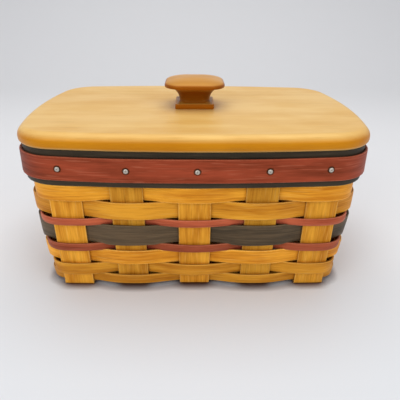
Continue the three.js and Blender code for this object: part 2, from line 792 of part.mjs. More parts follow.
// Cleats: battens across the underside of the lid, with rounded lower ends
function makeCleat(x) {
  const side = new THREE.Shape();
  side.moveTo(-cleatHalfSpan, cleatHeight);
  const roundAt = cleatHalfSpan - cleatEndRound;
  side.absarc(-roundAt, cleatEndRound, cleatEndRound, 2 * quarterTurn, 3 * quarterTurn);
  side.absarc(roundAt, cleatEndRound, cleatEndRound, 3 * quarterTurn, 4 * quarterTurn);
  side.lineTo(cleatHalfSpan, cleatHeight);
  const settings = { depth: cleatWidth, bevelEnabled: false, curveSegments: cleatEndSteps };
  const geometry = new THREE.ExtrudeGeometry(side, settings);
  geometry.rotateX(quarterTurn);
  geometry.rotateZ(quarterTurn);
  geometry.translate(x - cleatWidth / 2, 0, cleatBottom);
  return cutBy(geometry, cleatScrewHoles);
}

addPiece(lid, 'cleat_left', makeCleat(-cleatOffset), naturalWood);
addPiece(lid, 'cleat_right', makeCleat(cleatOffset), naturalWood);
cleatScrewPoints.forEach((point, index) => {
  const screw = makeScrew(cleatScrewHead, cleatScrewShank, cleatScrewLength, point);
  addPiece(lid, `cleat_screw_${index + 1}`, screw, zincSteel);
});

export default basket;
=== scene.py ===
"""Splint basket with a tacked rim and a lift-off wooden lid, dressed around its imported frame.

The walls, the rim and the lid follow one rounded outline that flares and bows from the table up.
A place on the wall is a position along that outline, a height and a distance outward. Every strip
of wood is swept along a guide line made of such places, and the turned and carved pieces are lofts.
"""

import logging
import math
from collections.abc import Iterable
from dataclasses import dataclass
from enum import Enum, IntEnum
from functools import cached_property, lru_cache
from typing import Any

import bmesh
import bpy
import numpy as np
from mathutils import Matrix, Vector


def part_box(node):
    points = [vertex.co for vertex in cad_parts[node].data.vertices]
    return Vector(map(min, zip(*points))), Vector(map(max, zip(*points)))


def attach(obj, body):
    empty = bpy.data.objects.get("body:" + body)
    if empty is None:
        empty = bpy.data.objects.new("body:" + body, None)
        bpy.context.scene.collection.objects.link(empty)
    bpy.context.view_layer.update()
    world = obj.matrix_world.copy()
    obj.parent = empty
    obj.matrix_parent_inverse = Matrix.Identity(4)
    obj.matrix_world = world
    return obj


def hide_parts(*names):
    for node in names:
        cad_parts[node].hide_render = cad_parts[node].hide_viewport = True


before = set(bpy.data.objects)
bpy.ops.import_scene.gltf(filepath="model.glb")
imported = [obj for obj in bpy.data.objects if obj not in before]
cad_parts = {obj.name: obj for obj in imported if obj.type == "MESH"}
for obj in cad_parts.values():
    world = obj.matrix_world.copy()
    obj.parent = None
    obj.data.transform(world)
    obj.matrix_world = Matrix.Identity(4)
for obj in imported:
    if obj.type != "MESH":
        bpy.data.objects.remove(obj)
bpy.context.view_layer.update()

LOG = logging.getLogger("splint_basket")

MM = 0.001
FULL_TURN = 2 * math.pi
QUARTER_TURN = math.pi / 2
# The signs of x and y in each quadrant, in turning order
QUADRANTS = ((1, 1), (-1, 1), (-1, -1), (1, -1))

Array = np.ndarray
Colour = tuple[float, float, float]
Pair = tuple[float, float]
Point = tuple[float, float, float]
Object = bpy.types.Object
Socket = bpy.types.NodeSocket
Mesh = bpy.types.Mesh
Material = bpy.types.Material
Node = bpy.types.Node
Tree = bpy.types.NodeTree


class Seed(IntEnum):
    """The first seed of each thing that is drawn at random."""

    TACK_SPIN = 7
    ROW_OFFSET = 10
    SCREW_SPIN = 11
    ROW_HEIGHT = 20
    ROW_LEAN = 30
    ROW_GRAIN = 40
    CROSS_GRAIN = 60
    LONG_GRAIN = 70
    BAND = 80
    BAND_LEAN = 85


def eased(share: Array | float) -> Array | float:
    """Eases shares from 0 to 1, so that they start and end level."""
    return share * share * (3 - 2 * share)


def quarter_angles(steps: int) -> list[float]:
    """Parts a quarter turn into even steps and returns their angles, with both ends."""
    return [step / steps * QUARTER_TURN for step in range(steps + 1)]


def corner_arc(centre: Pair, radius: float, quadrant: int, steps: int) -> list[Pair]:
    """Rounds one corner of a flat shape.

    Args:
        centre: The middle of the arc.
        radius: Its radius.
        quadrant: The number of the quarter turn that it covers, from 0.
        steps: How many steps it has.

    Returns:
        The points of the arc, with both ends.
    """
    turns = ((quadrant + step / steps) * QUARTER_TURN for step in range(steps + 1))
    return [(centre[0] + radius * math.cos(turn), centre[1] + radius * math.sin(turn)) for turn in turns]


# The outline and the walls


@dataclass(frozen=True)
class Outline:
    """Two side arcs, two end arcs and four corner arcs, all tangent, in metres.

    Moved outward by a distance, it keeps every centre and adds that distance to every radius.
    """

    half_length: float
    half_depth: float
    corner: float
    side_bow: float
    end_bow: float

    @cached_property
    def side_radius(self) -> float:
        """Radius of the long arcs."""
        return (self.half_length**2 + self.side_bow**2) / (2 * self.side_bow)

    @cached_property
    def end_radius(self) -> float:
        """Radius of the end arcs."""
        return (self.half_depth**2 + self.end_bow**2) / (2 * self.end_bow)

    @cached_property
    def centres(self) -> tuple[Array, Array, Array]:
        """Centres of the arcs of the first quarter.

        Returns:
            The centres of the side, corner and end arcs.
        """
        side = np.array([0.0, self.half_depth - self.side_radius])
        end = np.array([self.half_length - self.end_radius, 0.0])
        from_side = self.side_radius - self.corner
        from_end = self.end_radius - self.corner
        between = end - side
        distance = float(np.linalg.norm(between))
        unit_between = between / distance
        along = (from_side**2 - from_end**2 + distance**2) / (2 * distance)
        across = math.sqrt(from_side**2 - along**2)
        aside = np.array([unit_between[1], -unit_between[0]])
        return side, side + unit_between * along + aside * across, end

    @cached_property
    def angles(self) -> Pair:
        """Angles of the first quarter.

        Returns:
            The angles that half a side arc and half an end arc turn through.
        """
        side, corner, end = self.centres
        side_angle = math.atan2(corner[0], corner[1] - side[1])
        end_angle = math.atan2(corner[1], corner[0] - end[0])
        return side_angle, end_angle

    @cached_property
    def lengths(self) -> tuple[float, float, float]:
        """Arc lengths of the first quarter.

        Returns:
            The lengths of half a side arc, a corner arc and half an end arc.
        """
        side_angle, end_angle = self.angles
        corner = self.corner * (QUARTER_TURN - side_angle - end_angle)
        return self.side_radius * side_angle, corner, self.end_radius * end_angle

    def places(self, position: Array, offset: Array | float, lengths: tuple[float, float, float]) -> Array:
        """Finds points of the outline.

        Args:
            position: Distances from the front's middle, by the right end, the back and the left end.
            offset: How far outside the outline each point lies.
            lengths: Arc lengths that the positions are measured in.

        Returns:
            One row per position: x, y and the outward direction's x and y.
        """
        side_length, corner_length, end_length = lengths
        quarter = sum(lengths)
        wrapped = np.mod(position, 4 * quarter)
        quadrant = np.minimum(3, np.floor(wrapped / quarter)).astype(int)
        within = wrapped - quadrant * quarter
        local = np.where(quadrant % 2 == 0, within, quarter - within)
        side_angle, end_angle = self.angles
        corner_angle = QUARTER_TURN - side_angle - end_angle
        on_side = local <= side_length
        on_end = local > side_length + corner_length
        angle = side_angle + (local - side_length) / corner_length * corner_angle
        angle = np.where(on_side, local / side_length * side_angle, angle)
        angle = np.where(on_end, QUARTER_TURN - (quarter - local) / end_length * end_angle, angle)
        radius = np.where(on_side, self.side_radius, np.where(on_end, self.end_radius, self.corner))
        side, corner, end = self.centres
        centre_x, centre_y = (
            np.where(on_side, side[axis], np.where(on_end, end[axis], corner[axis])) for axis in (0, 1)
        )
        sign_x = np.where(quadrant < 2, 1.0, -1.0)
        sign_y = np.where((quadrant == 0) | (quadrant == 3), -1.0, 1.0)
        x = sign_x * (centre_x + (radius + offset) * np.sin(angle))
        y = sign_y * (centre_y + (radius + offset) * np.cos(angle))
        return np.stack([x, y, sign_x * np.sin(angle), sign_y * np.cos(angle)], axis=-1)


@dataclass(frozen=True)
class Wall:
    """The middle surface of the uprights, which spreads and bows from the table to the rim."""

    half_length: float = 88 * MM
    half_depth: float = 54 * MM
    corner: float = 10 * MM
    end_spread: float = 8 * MM
    side_spread: float = 10 * MM
    corner_spread: float = 9.5 * MM
    curve: float = 1.0
    side_bows: Pair = (0.8 * MM, 7.6 * MM)
    end_bows: Pair = (0.8 * MM, 3.5 * MM)
    rim_top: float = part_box("rim_band_green")[1].z
    cross_offsets: tuple[float, ...] = (-73.1 * MM, -38 * MM, 0.0, 38 * MM, 73.1 * MM)
    long_offsets: tuple[float, ...] = (-35 * MM, 0.0, 35 * MM)
    front_tack_shifts: tuple[float, ...] = (0.3 * MM, 1.8 * MM, 1.4 * MM, 1.7 * MM, -0.3 * MM)
    upright_width: float = 18.4 * MM
    upright_thickness: float = 1.4 * MM
    layer_gap: float = 0.3 * MM
    # The number of the upright in the middle of the back, counted from the front's left
    back_middle: int = 10

    def outline(self, z: float) -> Outline:
        """Returns the wall's outline at a height, rounded to a micrometre."""
        return _wall_outline(self, round(float(z), 6))

    @cached_property
    def lengths(self) -> tuple[float, float, float]:
        """Arc lengths at the table, which positions are measured in."""
        return self.outline(0).lengths

    @property
    def quarter(self) -> float:
        """A quarter of the way round, at the table."""
        return sum(self.lengths)

    @property
    def round(self) -> float:
        """All the way round, at the table."""
        return 4 * self.quarter

    @property
    def face(self) -> float:
        """Distance from the middle of the uprights to what lies against them."""
        return self.upright_thickness / 2 + self.layer_gap

    @cached_property
    def upright_places(self) -> Array:
        """Where the sixteen uprights stand.

        Returns:
            Their positions along the wall, from the front's left.
        """
        ends = [self.quarter + y for y in self.long_offsets]
        backs = [2 * self.quarter + x for x in self.cross_offsets]
        lefts = [3 * self.quarter + y for y in self.long_offsets]
        return np.array([*self.cross_offsets, *ends, *backs, *lefts])

    @cached_property
    def tack_places(self) -> Array:
        """Where the tacks are.

        Returns:
            The positions of the uprights' middles, with the front ones shifted by listed amounts.
        """
        places = self.upright_places.copy()
        places[: len(self.front_tack_shifts)] += self.front_tack_shifts
        return places

    def upright_at(self, number: int) -> float:
        """Returns the position of an upright, counted on past a full round."""
        turns, index = divmod(number, len(self.upright_places))
        return float(self.upright_places[index]) + turns * self.round

    def points(self, position: Array, z: Array | float, offset: Array | float) -> Array:
        """Finds points of the wall.

        Args:
            position: Positions along the wall.
            z: Heights, or one height for all.
            offset: Distances outward, or one for all.

        Returns:
            Rows of x, y and z.
        """
        position, z, offset = np.broadcast_arrays(*map(np.asarray, (position, z, offset)))
        result = np.empty((position.size, 3))
        for level in np.unique(z):
            here = z == level
            found = self.outline(level).places(position[here], offset[here], self.lengths)
            result[here, :2] = found[:, :2]
            result[here, 2] = level
        return result

    def point(self, position: float, z: float, offset: float) -> Vector:
        """Returns one point of the wall."""
        return Vector(self.points(np.array([position]), z, offset)[0])

    def outward(self, position: float, z: float) -> Vector:
        """Returns the level direction that points out of the wall at one place."""
        found = self.outline(z).places(np.array([position]), 0.0, self.lengths)[0]
        return Vector((found[2], found[3], 0.0))


@lru_cache(maxsize=None)
def _wall_outline(wall: Wall, z: float) -> Outline:
    """Builds the wall's outline at a height.

    Args:
        wall: The wall.
        z: The height.

    Returns:
        The outline.
    """
    share = z / wall.rim_top
    grown = share + wall.curve * share * (1 - share)
    bows = (low + (high - low) * share for low, high in (wall.side_bows, wall.end_bows))
    half_length = wall.half_length + wall.end_spread * grown
    half_depth = wall.half_depth + wall.side_spread * grown
    return Outline(half_length, half_depth, wall.corner + wall.corner_spread * grown, *bows)


WALL = Wall()


@dataclass(frozen=True)
class Wobble:
    """A smooth, seeded unevenness that closes on itself after one round of the wall."""

    seed: int
    size: float
    waves: tuple[int, ...] = (3, 5, 8, 13, 21)
    least_weight: float = 0.4

    def at(self, position: Array) -> Array:
        """Finds the unevenness.

        Args:
            position: Positions along the wall.

        Returns:
            The unevenness at each position.
        """
        rng = np.random.default_rng(self.seed)
        total = np.zeros_like(position, dtype=float)
        for count in self.waves:
            phase = rng.uniform(0, FULL_TURN)
            weight = rng.uniform(self.least_weight, 1.0)
            total += weight * np.sin(FULL_TURN * count * position / WALL.round + phase)
        return self.size * total / math.sqrt(len(self.waves))


# Meshes


def linked(obj: Object) -> Object:
    """Links an object to the scene and returns it."""
    bpy.context.scene.collection.objects.link(obj)
    return obj


def mesh_object(name: str, points: Any, faces: Iterable[Iterable[int]], edges: Any = ()) -> Object:
    """Makes a mesh object and links it to the scene.

    Args:
        name: The object's name.
        points: The place of each point.
        faces: The point numbers of each face.
        edges: The point numbers of each loose edge.

    Returns:
        The object.
    """
    mesh = bpy.data.meshes.new(name)
    mesh.from_pydata([tuple(map(float, p)) for p in points], list(edges), [tuple(f) for f in faces])
    return linked(bpy.data.objects.new(name, mesh))


def store(mesh: Mesh, name: str, values: Array) -> None:
    """Stores an attribute on the points of a mesh.

    Args:
        mesh: The mesh.
        name: The attribute's name.
        values: A number for each point, or a row of three.
    """
    kind, key = ("FLOAT_VECTOR", "vector") if np.ndim(values) == 2 else ("FLOAT", "value")
    attribute = mesh.attributes.new(name, kind, "POINT")
    attribute.data.foreach_set(key, np.asarray(values, np.float32).ravel())


def shade(mesh: Mesh, sharp_degrees: float = 38) -> None:
    """Shades a mesh smooth, apart from edges that turn by more than an angle."""
    mesh.shade_smooth()
    mesh.set_sharp_from_angle(angle=math.radians(sharp_degrees))


def face_outward(mesh: Mesh) -> None:
    """Makes every face of a closed mesh point out.

    Args:
        mesh: The mesh.
    """
    work = bmesh.new()
    work.from_mesh(mesh)
    bmesh.ops.recalc_face_normals(work, faces=work.faces)
    if work.calc_volume(signed=True) < 0:
        bmesh.ops.reverse_faces(work, faces=work.faces)
    work.to_mesh(mesh)
    work.free()


def mark_sides(mesh: Mesh) -> None:
    """Stores how far each point of a mesh faces sideways: 0 up or down, 1 level."""
    upward = np.array([vertex.normal.z for vertex in mesh.vertices])
    store(mesh, "side", 1 - np.abs(upward))


def baked(obj: Object) -> Object:
    """Turns an object with modifiers into a plain mesh object of the same name.

    Args:
        obj: The object, which is removed.

    Returns:
        The plain object.
    """
    depsgraph = bpy.context.evaluated_depsgraph_get()
    evaluated = obj.evaluated_get(depsgraph)
    mesh = bpy.data.meshes.new_from_object(evaluated, preserve_all_data_layers=True, depsgraph=depsgraph)
    name = obj.name
    bpy.data.objects.remove(obj)
    face_outward(mesh)
    shade(mesh)
    return linked(bpy.data.objects.new(name, mesh))


def ring_faces(rings: int, size: int, first: int = 0) -> list[list[int]]:
    """Joins equal closed rings of numbered points.

    Args:
        rings: How many rings there are.
        size: How many points a ring has.
        first: The number of the first ring's first point.

    Returns:
        The faces between neighbouring rings.
    """
    faces: list[list[int]] = []
    for ring in range(rings - 1):
        low = first + ring * size
        for k in range(size):
            following = (k + 1) % size
            faces.append([low + k, low + following, low + size + following, low + size + k])
    return faces


def lofted(name: str, rings: Array) -> Object:
    """Joins equal closed rings of points, with a flat face over the first and the last one.

    Args:
        name: The piece's name.
        rings: The points of each ring.

    Returns:
        The piece.
    """
    count, size, _ = rings.shape
    faces = ring_faces(count, size)
    faces.append(list(range(size))[::-1])
    faces.append([(count - 1) * size + k for k in range(size)])
    obj = mesh_object(name, rings.reshape(-1, 3), faces)
    face_outward(obj.data)
    return obj


def turned(name: str, profile: list[Pair], sides: int) -> Object:
    """Makes a turned piece round Z.

    Args:
        name: The piece's name.
        profile: Radius and height of each ring, from axis to axis.
        sides: How many points a ring has.

    Returns:
        The piece.
    """
    points: list[Point] = [(0.0, 0.0, profile[0][1])]
    for radius, z in profile[1:-1]:
        angles = (FULL_TURN * k / sides for k in range(sides))
        points += [(radius * math.cos(angle), radius * math.sin(angle), z) for angle in angles]
    points.append((0.0, 0.0, profile[-1][1]))
    last = len(points) - 1
    faces = ring_faces(len(profile) - 2, sides, first=1)
    for k in range(sides):
        following = (k + 1) % sides
        faces.append([0, 1 + following, 1 + k])
        faces.append([last - sides + k, last - sides + following, last])
    obj = mesh_object(name, points, faces)
    face_outward(obj.data)
    return obj


def cut(obj: Object, cutters: list[Object]) -> Object:
    """Cuts closed shapes out of a piece and bakes it.

    Args:
        obj: The piece.
        cutters: The shapes, which are removed.

    Returns:
        The piece with its holes.
    """
    for cutter in cutters:
        modifier = obj.modifiers.new("cut", "BOOLEAN")
        modifier.operation = "DIFFERENCE"
        modifier.solver = "EXACT"
        modifier.object = cutter
    plain = baked(obj)
    for cutter in cutters:
        bpy.data.objects.remove(cutter)
    return plain


# Node trees


class Sketch:
    """A node tree being built, with short calls that add nodes and join sockets."""

    def __init__(self, tree: Tree) -> None:
        """Keeps the tree that nodes go to."""
        self.tree = tree

    def feed(self, socket: Socket, value: Any) -> None:
        """Gives an input what it reads.

        Args:
            socket: The input.
            value: A socket to link from, or a plain value.
        """
        if isinstance(value, Socket):
            self.tree.links.new(value, socket)
        else:
            socket.default_value = value

    def add(self, kind: str, inputs: dict[str | int, Any] | None = None, **settings: Any) -> Node:
        """Adds a node.

        Args:
            kind: The node's type name.
            inputs: A socket to link from, or a plain value, for each input by name or number.
            **settings: Properties of the node, set before its inputs.

        Returns:
            The new node.
        """
        node = self.tree.nodes.new(kind)
        for key, value in settings.items():
            setattr(node, key, value)
        for key, value in (inputs or {}).items():
            self.feed(node.inputs[key], value)
        return node

    def math(self, operation: str, *values: Any, clamp: bool = False) -> Socket:
        """Adds a Math node and returns its result."""
        inputs = dict(enumerate(values))
        return self.add("ShaderNodeMath", inputs, operation=operation, use_clamp=clamp).outputs[0]

    def vector(self, operation: str, *values: Any) -> Socket:
        """Adds a Vector Math node and returns its vector."""
        inputs = {(3 if operation == "SCALE" and k == 1 else k): v for k, v in enumerate(values)}
        return self.add("ShaderNodeVectorMath", inputs, operation=operation).outputs[0]

    def combine(self, **axes: Any) -> Socket:
        """Joins X, Y and Z into a vector and returns it."""
        return self.add("ShaderNodeCombineXYZ", axes).outputs[0]

    def squeeze(self, vector: Any, stretch: Any) -> Socket:
        """Divides a vector's x by a stretch, so that patterns on it run along x."""
        along = self.math("DIVIDE", 1.0, stretch)
        return self.vector("MULTIPLY", vector, self.combine(X=along, Y=1.0, Z=1.0))

    def ramp(self, value: Any, low: float, high: float, kind: str = "SMOOTHSTEP") -> Socket:
        """Maps a value from low to high onto 0 to 1."""
        inputs = {"Value": value, "From Min": low, "From Max": high}
        return self.add("ShaderNodeMapRange", inputs, interpolation_type=kind).outputs["Result"]

    def mix(self, factor: Any, first: Any, second: Any) -> Socket:
        """Mixes two colours.

        Args:
            factor: The share of the second colour.
            first: The first colour.
            second: The second colour.

        Returns:
            The mixed colour.
        """
        node = self.add("ShaderNodeMix", data_type="RGBA")
        for identifier, value in (("Factor_Float", factor), ("A_Color", first), ("B_Color", second)):
            socket = next(s for s in node.inputs if s.identifier == identifier)
            self.feed(socket, (*value, 1.0) if isinstance(value, tuple) else value)
        return next(s for s in node.outputs if s.identifier == "Result_Color")

    def layer(self, under: Any, over: Colour, mask: Any, strength: float) -> Socket:
        """Lays a colour over another one where a mask says, up to a strength."""
        return self.mix(self.math("MULTIPLY", mask, strength), under, over)

    def noise(self, vector: Any, scale: Any, detail: float = 2, rough: float = 0.5) -> Socket:
        """Adds a noise texture and returns its value, from 0 to 1."""
        inputs = {"Vector": vector, "Scale": scale, "Detail": detail, "Roughness": rough}
        return self.add("ShaderNodeTexNoise", inputs).outputs["Fac"]

    def bump(self, height: Any, strength: float, distance: float) -> Socket:
        """Adds a Bump node and returns its normal."""
        inputs = {"Height": height, "Strength": strength, "Distance": distance}
        return self.add("ShaderNodeBump", inputs).outputs["Normal"]

    def attribute(self, name: str, output: str = "Fac") -> Socket:
        """Reads an attribute in a material."""
        return self.add("ShaderNodeAttribute", attribute_name=name).outputs[output]

    def named(self, name: str, kind: str = "FLOAT") -> Socket:
        """Reads an attribute in a geometry tree."""
        return self.add("GeometryNodeInputNamedAttribute", {"Name": name}, data_type=kind).outputs[0]

    def keep(self, geometry: Any, name: str, value: Any, kind: str = "FLOAT") -> Socket:
        """Stores an attribute on every point in a geometry tree."""
        inputs = {"Geometry": geometry, "Name": name, "Value": value}
        return self.add("GeometryNodeStoreNamedAttribute", inputs, data_type=kind).outputs[0]

    def group(self, tree: Tree, values: dict[str, Any]) -> Any:
        """Places a shader node group and returns its outputs."""
        return self.add("ShaderNodeGroup", values, node_tree=tree).outputs

    def surface(self, shader: Node, colour: Any, rough: Any, normal: Any) -> None:
        """Joins a surface's colour, roughness and normal to its shader."""
        for name, value in (("Base Color", colour), ("Roughness", rough), ("Normal", normal)):
            self.feed(shader.inputs[name], value)

    def put_out(self, geometry: Any, material: Any) -> Tree:
        """Ends a geometry tree.

        Args:
            geometry: What the tree puts out, once its instances are real.
            material: The material that it gets.

        Returns:
            The tree.
        """
        real = self.add("GeometryNodeRealizeInstances", {"Geometry": geometry}).outputs[0]
        dressed = self.add("GeometryNodeSetMaterial", {"Geometry": real, "Material": material})
        self.add("NodeGroupOutput", {"Geometry": dressed.outputs[0]})
        return self.tree


def new_group(name: str, kind: str, inputs: dict[str, str], outputs: dict[str, str]) -> Sketch:
    """Makes a node group with named inputs and outputs.

    Args:
        name: The group's name.
        kind: GeometryNodeTree or ShaderNodeTree.
        inputs: Socket type for each input name.
        outputs: Socket type for each output name.

    Returns:
        A sketch of the new group.
    """
    tree = bpy.data.node_groups.new(name, kind)
    for direction, sockets in (("INPUT", inputs), ("OUTPUT", outputs)):
        for label, socket in sockets.items():
            tree.interface.new_socket(label, in_out=direction, socket_type=socket)
    return Sketch(tree)


def use_tree(obj: Object, tree: Tree, values: dict[str, Any]) -> Object:
    """Runs a Geometry Nodes tree on an object and bakes it.

    Args:
        obj: The object whose mesh goes in.
        tree: The tree.
        values: A value for each named input.

    Returns:
        The plain mesh object that comes out.
    """
    modifier = obj.modifiers.new("made", "NODES")
    modifier.node_group = tree
    items = tree.interface.items_tree
    sockets = {item.name: item.identifier for item in items if item.in_out == "INPUT"}
    for name, value in values.items():
        modifier[sockets[name]] = value
    obj.data.update()
    return baked(obj)


FLOAT = "NodeSocketFloat"
VECTOR = "NodeSocketVector"
GEOMETRY = "NodeSocketGeometry"
OBJECT = "NodeSocketObject"
MATERIAL = "NodeSocketMaterial"


@lru_cache(maxsize=None)
def strip_tree() -> Tree:
    """Builds the tree that sweeps a section along a guide, curls its edge and marks its grain.

    The guide's points carry facing, widthways, along, curl, thin and widen. The section's x is the
    strip's thickness and its y the width.

    Returns:
        The tree.
    """
    sketch = new_group(
        "Strip along a guide",
        "GeometryNodeTree",
        {
            "Geometry": GEOMETRY,
            "Section": OBJECT,
            "Half width": FLOAT,
            "Half thickness": FLOAT,
            "Curl start": FLOAT,
            "Curl side": FLOAT,
            "Grain shift": VECTOR,
            "Tone": FLOAT,
            "Material": MATERIAL,
        },
        {"Geometry": GEOMETRY},
    )
    given = sketch.add("NodeGroupInput").outputs

    ring = sketch.add("GeometryNodeObjectInfo", {"Object": given["Section"]}).outputs["Geometry"]
    profile = sketch.add("GeometryNodeMeshToCurve", {"Mesh": ring}).outputs["Curve"]
    place = sketch.add("GeometryNodeInputPosition").outputs[0]
    profile = sketch.keep(profile, "section", place, "FLOAT_VECTOR")
    facing = sketch.named("facing", "FLOAT_VECTOR")
    guide = sketch.add("GeometryNodeMeshToCurve", {"Mesh": given["Geometry"]}).outputs["Curve"]
    aimed = sketch.add("GeometryNodeSetCurveNormal", {"Curve": guide, "Normal": facing}, mode="FREE")
    sweep = {"Curve": aimed.outputs[0], "Profile Curve": profile, "Fill Caps": True}
    swept = sketch.add("GeometryNodeCurveToMesh", sweep).outputs["Mesh"]

    section = sketch.add("ShaderNodeSeparateXYZ", {0: sketch.named("section", "FLOAT_VECTOR")}).outputs
    lateral = sketch.math("MULTIPLY", section["Y"], given["Curl side"])
    past = sketch.math("SUBTRACT", lateral, given["Curl start"])
    room = sketch.math("SUBTRACT", given["Half width"], given["Curl start"])
    share = sketch.math("DIVIDE", past, room, clamp=True)
    drop = sketch.math("MULTIPLY", sketch.math("POWER", share, 2.0), sketch.named("curl"))
    thinner = sketch.math("MULTIPLY", section["X"], sketch.named("thin"))
    inward = sketch.math("MULTIPLY", sketch.math("ADD", drop, thinner), -1.0)
    wider = sketch.math("MULTIPLY", section["Y"], sketch.named("widen"))
    spread = sketch.vector("SCALE", sketch.named("widthways", "FLOAT_VECTOR"), wider)
    offset = sketch.vector("ADD", sketch.vector("SCALE", facing, inward), spread)
    shaped = sketch.add("GeometryNodeSetPosition", {"Geometry": swept, "Offset": offset}).outputs[0]

    grain = sketch.combine(X=sketch.named("along"), Y=section["Y"], Z=section["X"])
    grain = sketch.vector("ADD", grain, given["Grain shift"])
    edge = sketch.math("SUBTRACT", given["Half width"], sketch.math("ABSOLUTE", section["Y"]))
    deep = sketch.math("SUBTRACT", given["Half thickness"], section["X"])
    deep = sketch.math("DIVIDE", deep, sketch.math("MULTIPLY", given["Half thickness"], 2.0))
    shaped = sketch.keep(shaped, "grain", grain, "FLOAT_VECTOR")
    for name, value in (("edge", edge), ("tone", given["Tone"]), ("deep", deep)):
        shaped = sketch.keep(shaped, name, value)
    return sketch.put_out(shaped, given["Material"])


@lru_cache(maxsize=None)
def fixings_tree() -> Tree:
    """Builds the tree that stands one fixing on each point, along its axis and turned by its spin.

    Returns:
        The tree.
    """
    sketch = new_group(
        "Fixings at points",
        "GeometryNodeTree",
        {"Geometry": GEOMETRY, "Fixing": OBJECT, "Size": FLOAT, "Material": MATERIAL},
        {"Geometry": GEOMETRY},
    )
    given = sketch.add("NodeGroupInput").outputs
    fixing = sketch.add("GeometryNodeObjectInfo", {"Object": given["Fixing"]}).outputs["Geometry"]
    turn = sketch.combine(Z=sketch.named("spin"))
    spun = sketch.add("FunctionNodeEulerToRotation", {"Euler": turn}).outputs[0]
    target = {"Vector": sketch.named("axis", "FLOAT_VECTOR")}
    aligned = sketch.add("FunctionNodeAlignRotationToVector", target, axis="Z").outputs[0]
    turns = {"Rotation": aligned, "Rotate By": spun}
    facing = sketch.add("FunctionNodeRotateRotation", turns, rotation_space="LOCAL").outputs[0]
    copies = {"Points": given["Geometry"], "Instance": fixing, "Rotation": facing, "Scale": given["Size"]}
    stood = sketch.add("GeometryNodeInstanceOnPoints", copies).outputs["Instances"]
    return sketch.put_out(stood, given["Material"])


# Finishes


def paint(red: int, green: int, blue: int) -> Colour:
    """Turns a screen colour into the linear colour that shaders use.

    Args:
        red: Red, from 0 to 255.
        green: Green, from 0 to 255.
        blue: Blue, from 0 to 255.

    Returns:
        The linear colour.
    """

    def linear(value: int) -> float:
        """Turns one channel into linear light, by the sRGB curve."""
        share = value / 255
        return share / 12.92 if share <= 0.04045 else ((share + 0.055) / 1.055) ** 2.4

    return linear(red), linear(green), linear(blue)


def dimmed(colour: Colour, share: float) -> Colour:
    """Returns a share of a colour's light."""
    return tuple(share * channel for channel in colour)


@lru_cache(maxsize=None)
def grain_group() -> Tree:
    """Builds the grain of split or sawn wood: x of the vector runs along the fibres, in metres.

    Returns:
        The group, which puts out masks of fibres, bands, dark flecks and pale streaks, and a height.
    """
    sketch = new_group(
        "Wood grain",
        "ShaderNodeTree",
        {
            "Vector": VECTOR,
            "Fibres per metre": FLOAT,
            "Stretch": FLOAT,
            "Bands per metre": FLOAT,
            "Fleck": FLOAT,
        },
        {"Fibre": FLOAT, "Bands": FLOAT, "Fleck": FLOAT, "Streak": FLOAT, "Height": FLOAT},
    )
    waves_per_metre = 18.0
    wave_size = 1.5 * MM
    flecks_per_fibre = 0.6
    fleck_steepness = 14.0
    fleck_place = (0.37, 0.11, 0.23)
    streak_place = (0.71, 0.29, 0.53)
    given = sketch.add("NodeGroupInput").outputs
    fibres = given["Fibres per metre"]
    drift = sketch.noise(given["Vector"], waves_per_metre, 1)
    swing = sketch.combine(Y=sketch.math("MULTIPLY", drift, wave_size))
    squeezed = sketch.squeeze(sketch.vector("ADD", given["Vector"], swing), given["Stretch"])
    fibre = sketch.ramp(sketch.noise(squeezed, fibres, 3, 0.62), 0.3, 0.72, "LINEAR")
    bands = sketch.ramp(sketch.noise(squeezed, given["Bands per metre"]), 0.32, 0.7)
    flecks = sketch.math("MULTIPLY", fibres, flecks_per_fibre)
    dash = sketch.noise(sketch.vector("ADD", squeezed, fleck_place), flecks, 1, 0.4)
    over = sketch.math("SUBTRACT", dash, given["Fleck"])
    fleck = sketch.math("MULTIPLY", over, fleck_steepness, clamp=True)
    pale = sketch.noise(sketch.vector("ADD", squeezed, streak_place), fibres, 1, 0.4)
    raised, sunk = sketch.math("MULTIPLY", fibre, 0.7), sketch.math("MULTIPLY", fleck, 0.8)
    found = {"Fibre": fibre, "Bands": bands, "Fleck": fleck, "Streak": sketch.ramp(pale, 0.6, 0.72)}
    sketch.add("NodeGroupOutput", {**found, "Height": sketch.math("SUBTRACT", raised, sunk)})
    return sketch.tree


@lru_cache(maxsize=None)
def stain_group() -> Tree:
    """Builds the cloudy unevenness of stain and varnish.

    Returns:
        The group, which puts out a mask from 0 to 1.
    """
    sketch = new_group(
        "Uneven stain",
        "ShaderNodeTree",
        {"Vector": VECTOR, "Clouds per metre": FLOAT, "Stretch": FLOAT},
        {"Mask": FLOAT},
    )
    given = sketch.add("NodeGroupInput").outputs
    squeezed = sketch.squeeze(given["Vector"], given["Stretch"])
    clouds = sketch.noise(squeezed, given["Clouds per metre"], 3, 0.55)
    sketch.add("NodeGroupOutput", {"Mask": sketch.ramp(clouds, 0.3, 0.7)})
    return sketch.tree


@lru_cache(maxsize=None)
def wear_group() -> Tree:
    """Builds wear along an edge, broken up by noise.

    Returns:
        The group, which puts out a mask that is 1 at the edge and 0 past the width.
    """
    sketch = new_group(
        "Edge wear",
        "ShaderNodeTree",
        {"Vector": VECTOR, "Edge": FLOAT, "Width": FLOAT},
        {"Mask": FLOAT},
    )
    tears_per_metre = 700.0
    tear_reach = 1.6
    given = sketch.add("NodeGroupInput").outputs
    near = sketch.math("DIVIDE", given["Edge"], given["Width"])
    ragged = sketch.noise(given["Vector"], tears_per_metre, 2, 0.6)
    reach = sketch.math("SUBTRACT", sketch.math("MULTIPLY", ragged, tear_reach), near)
    sketch.add("NodeGroupOutput", {"Mask": sketch.ramp(reach, -0.4, 0.7)})
    return sketch.tree


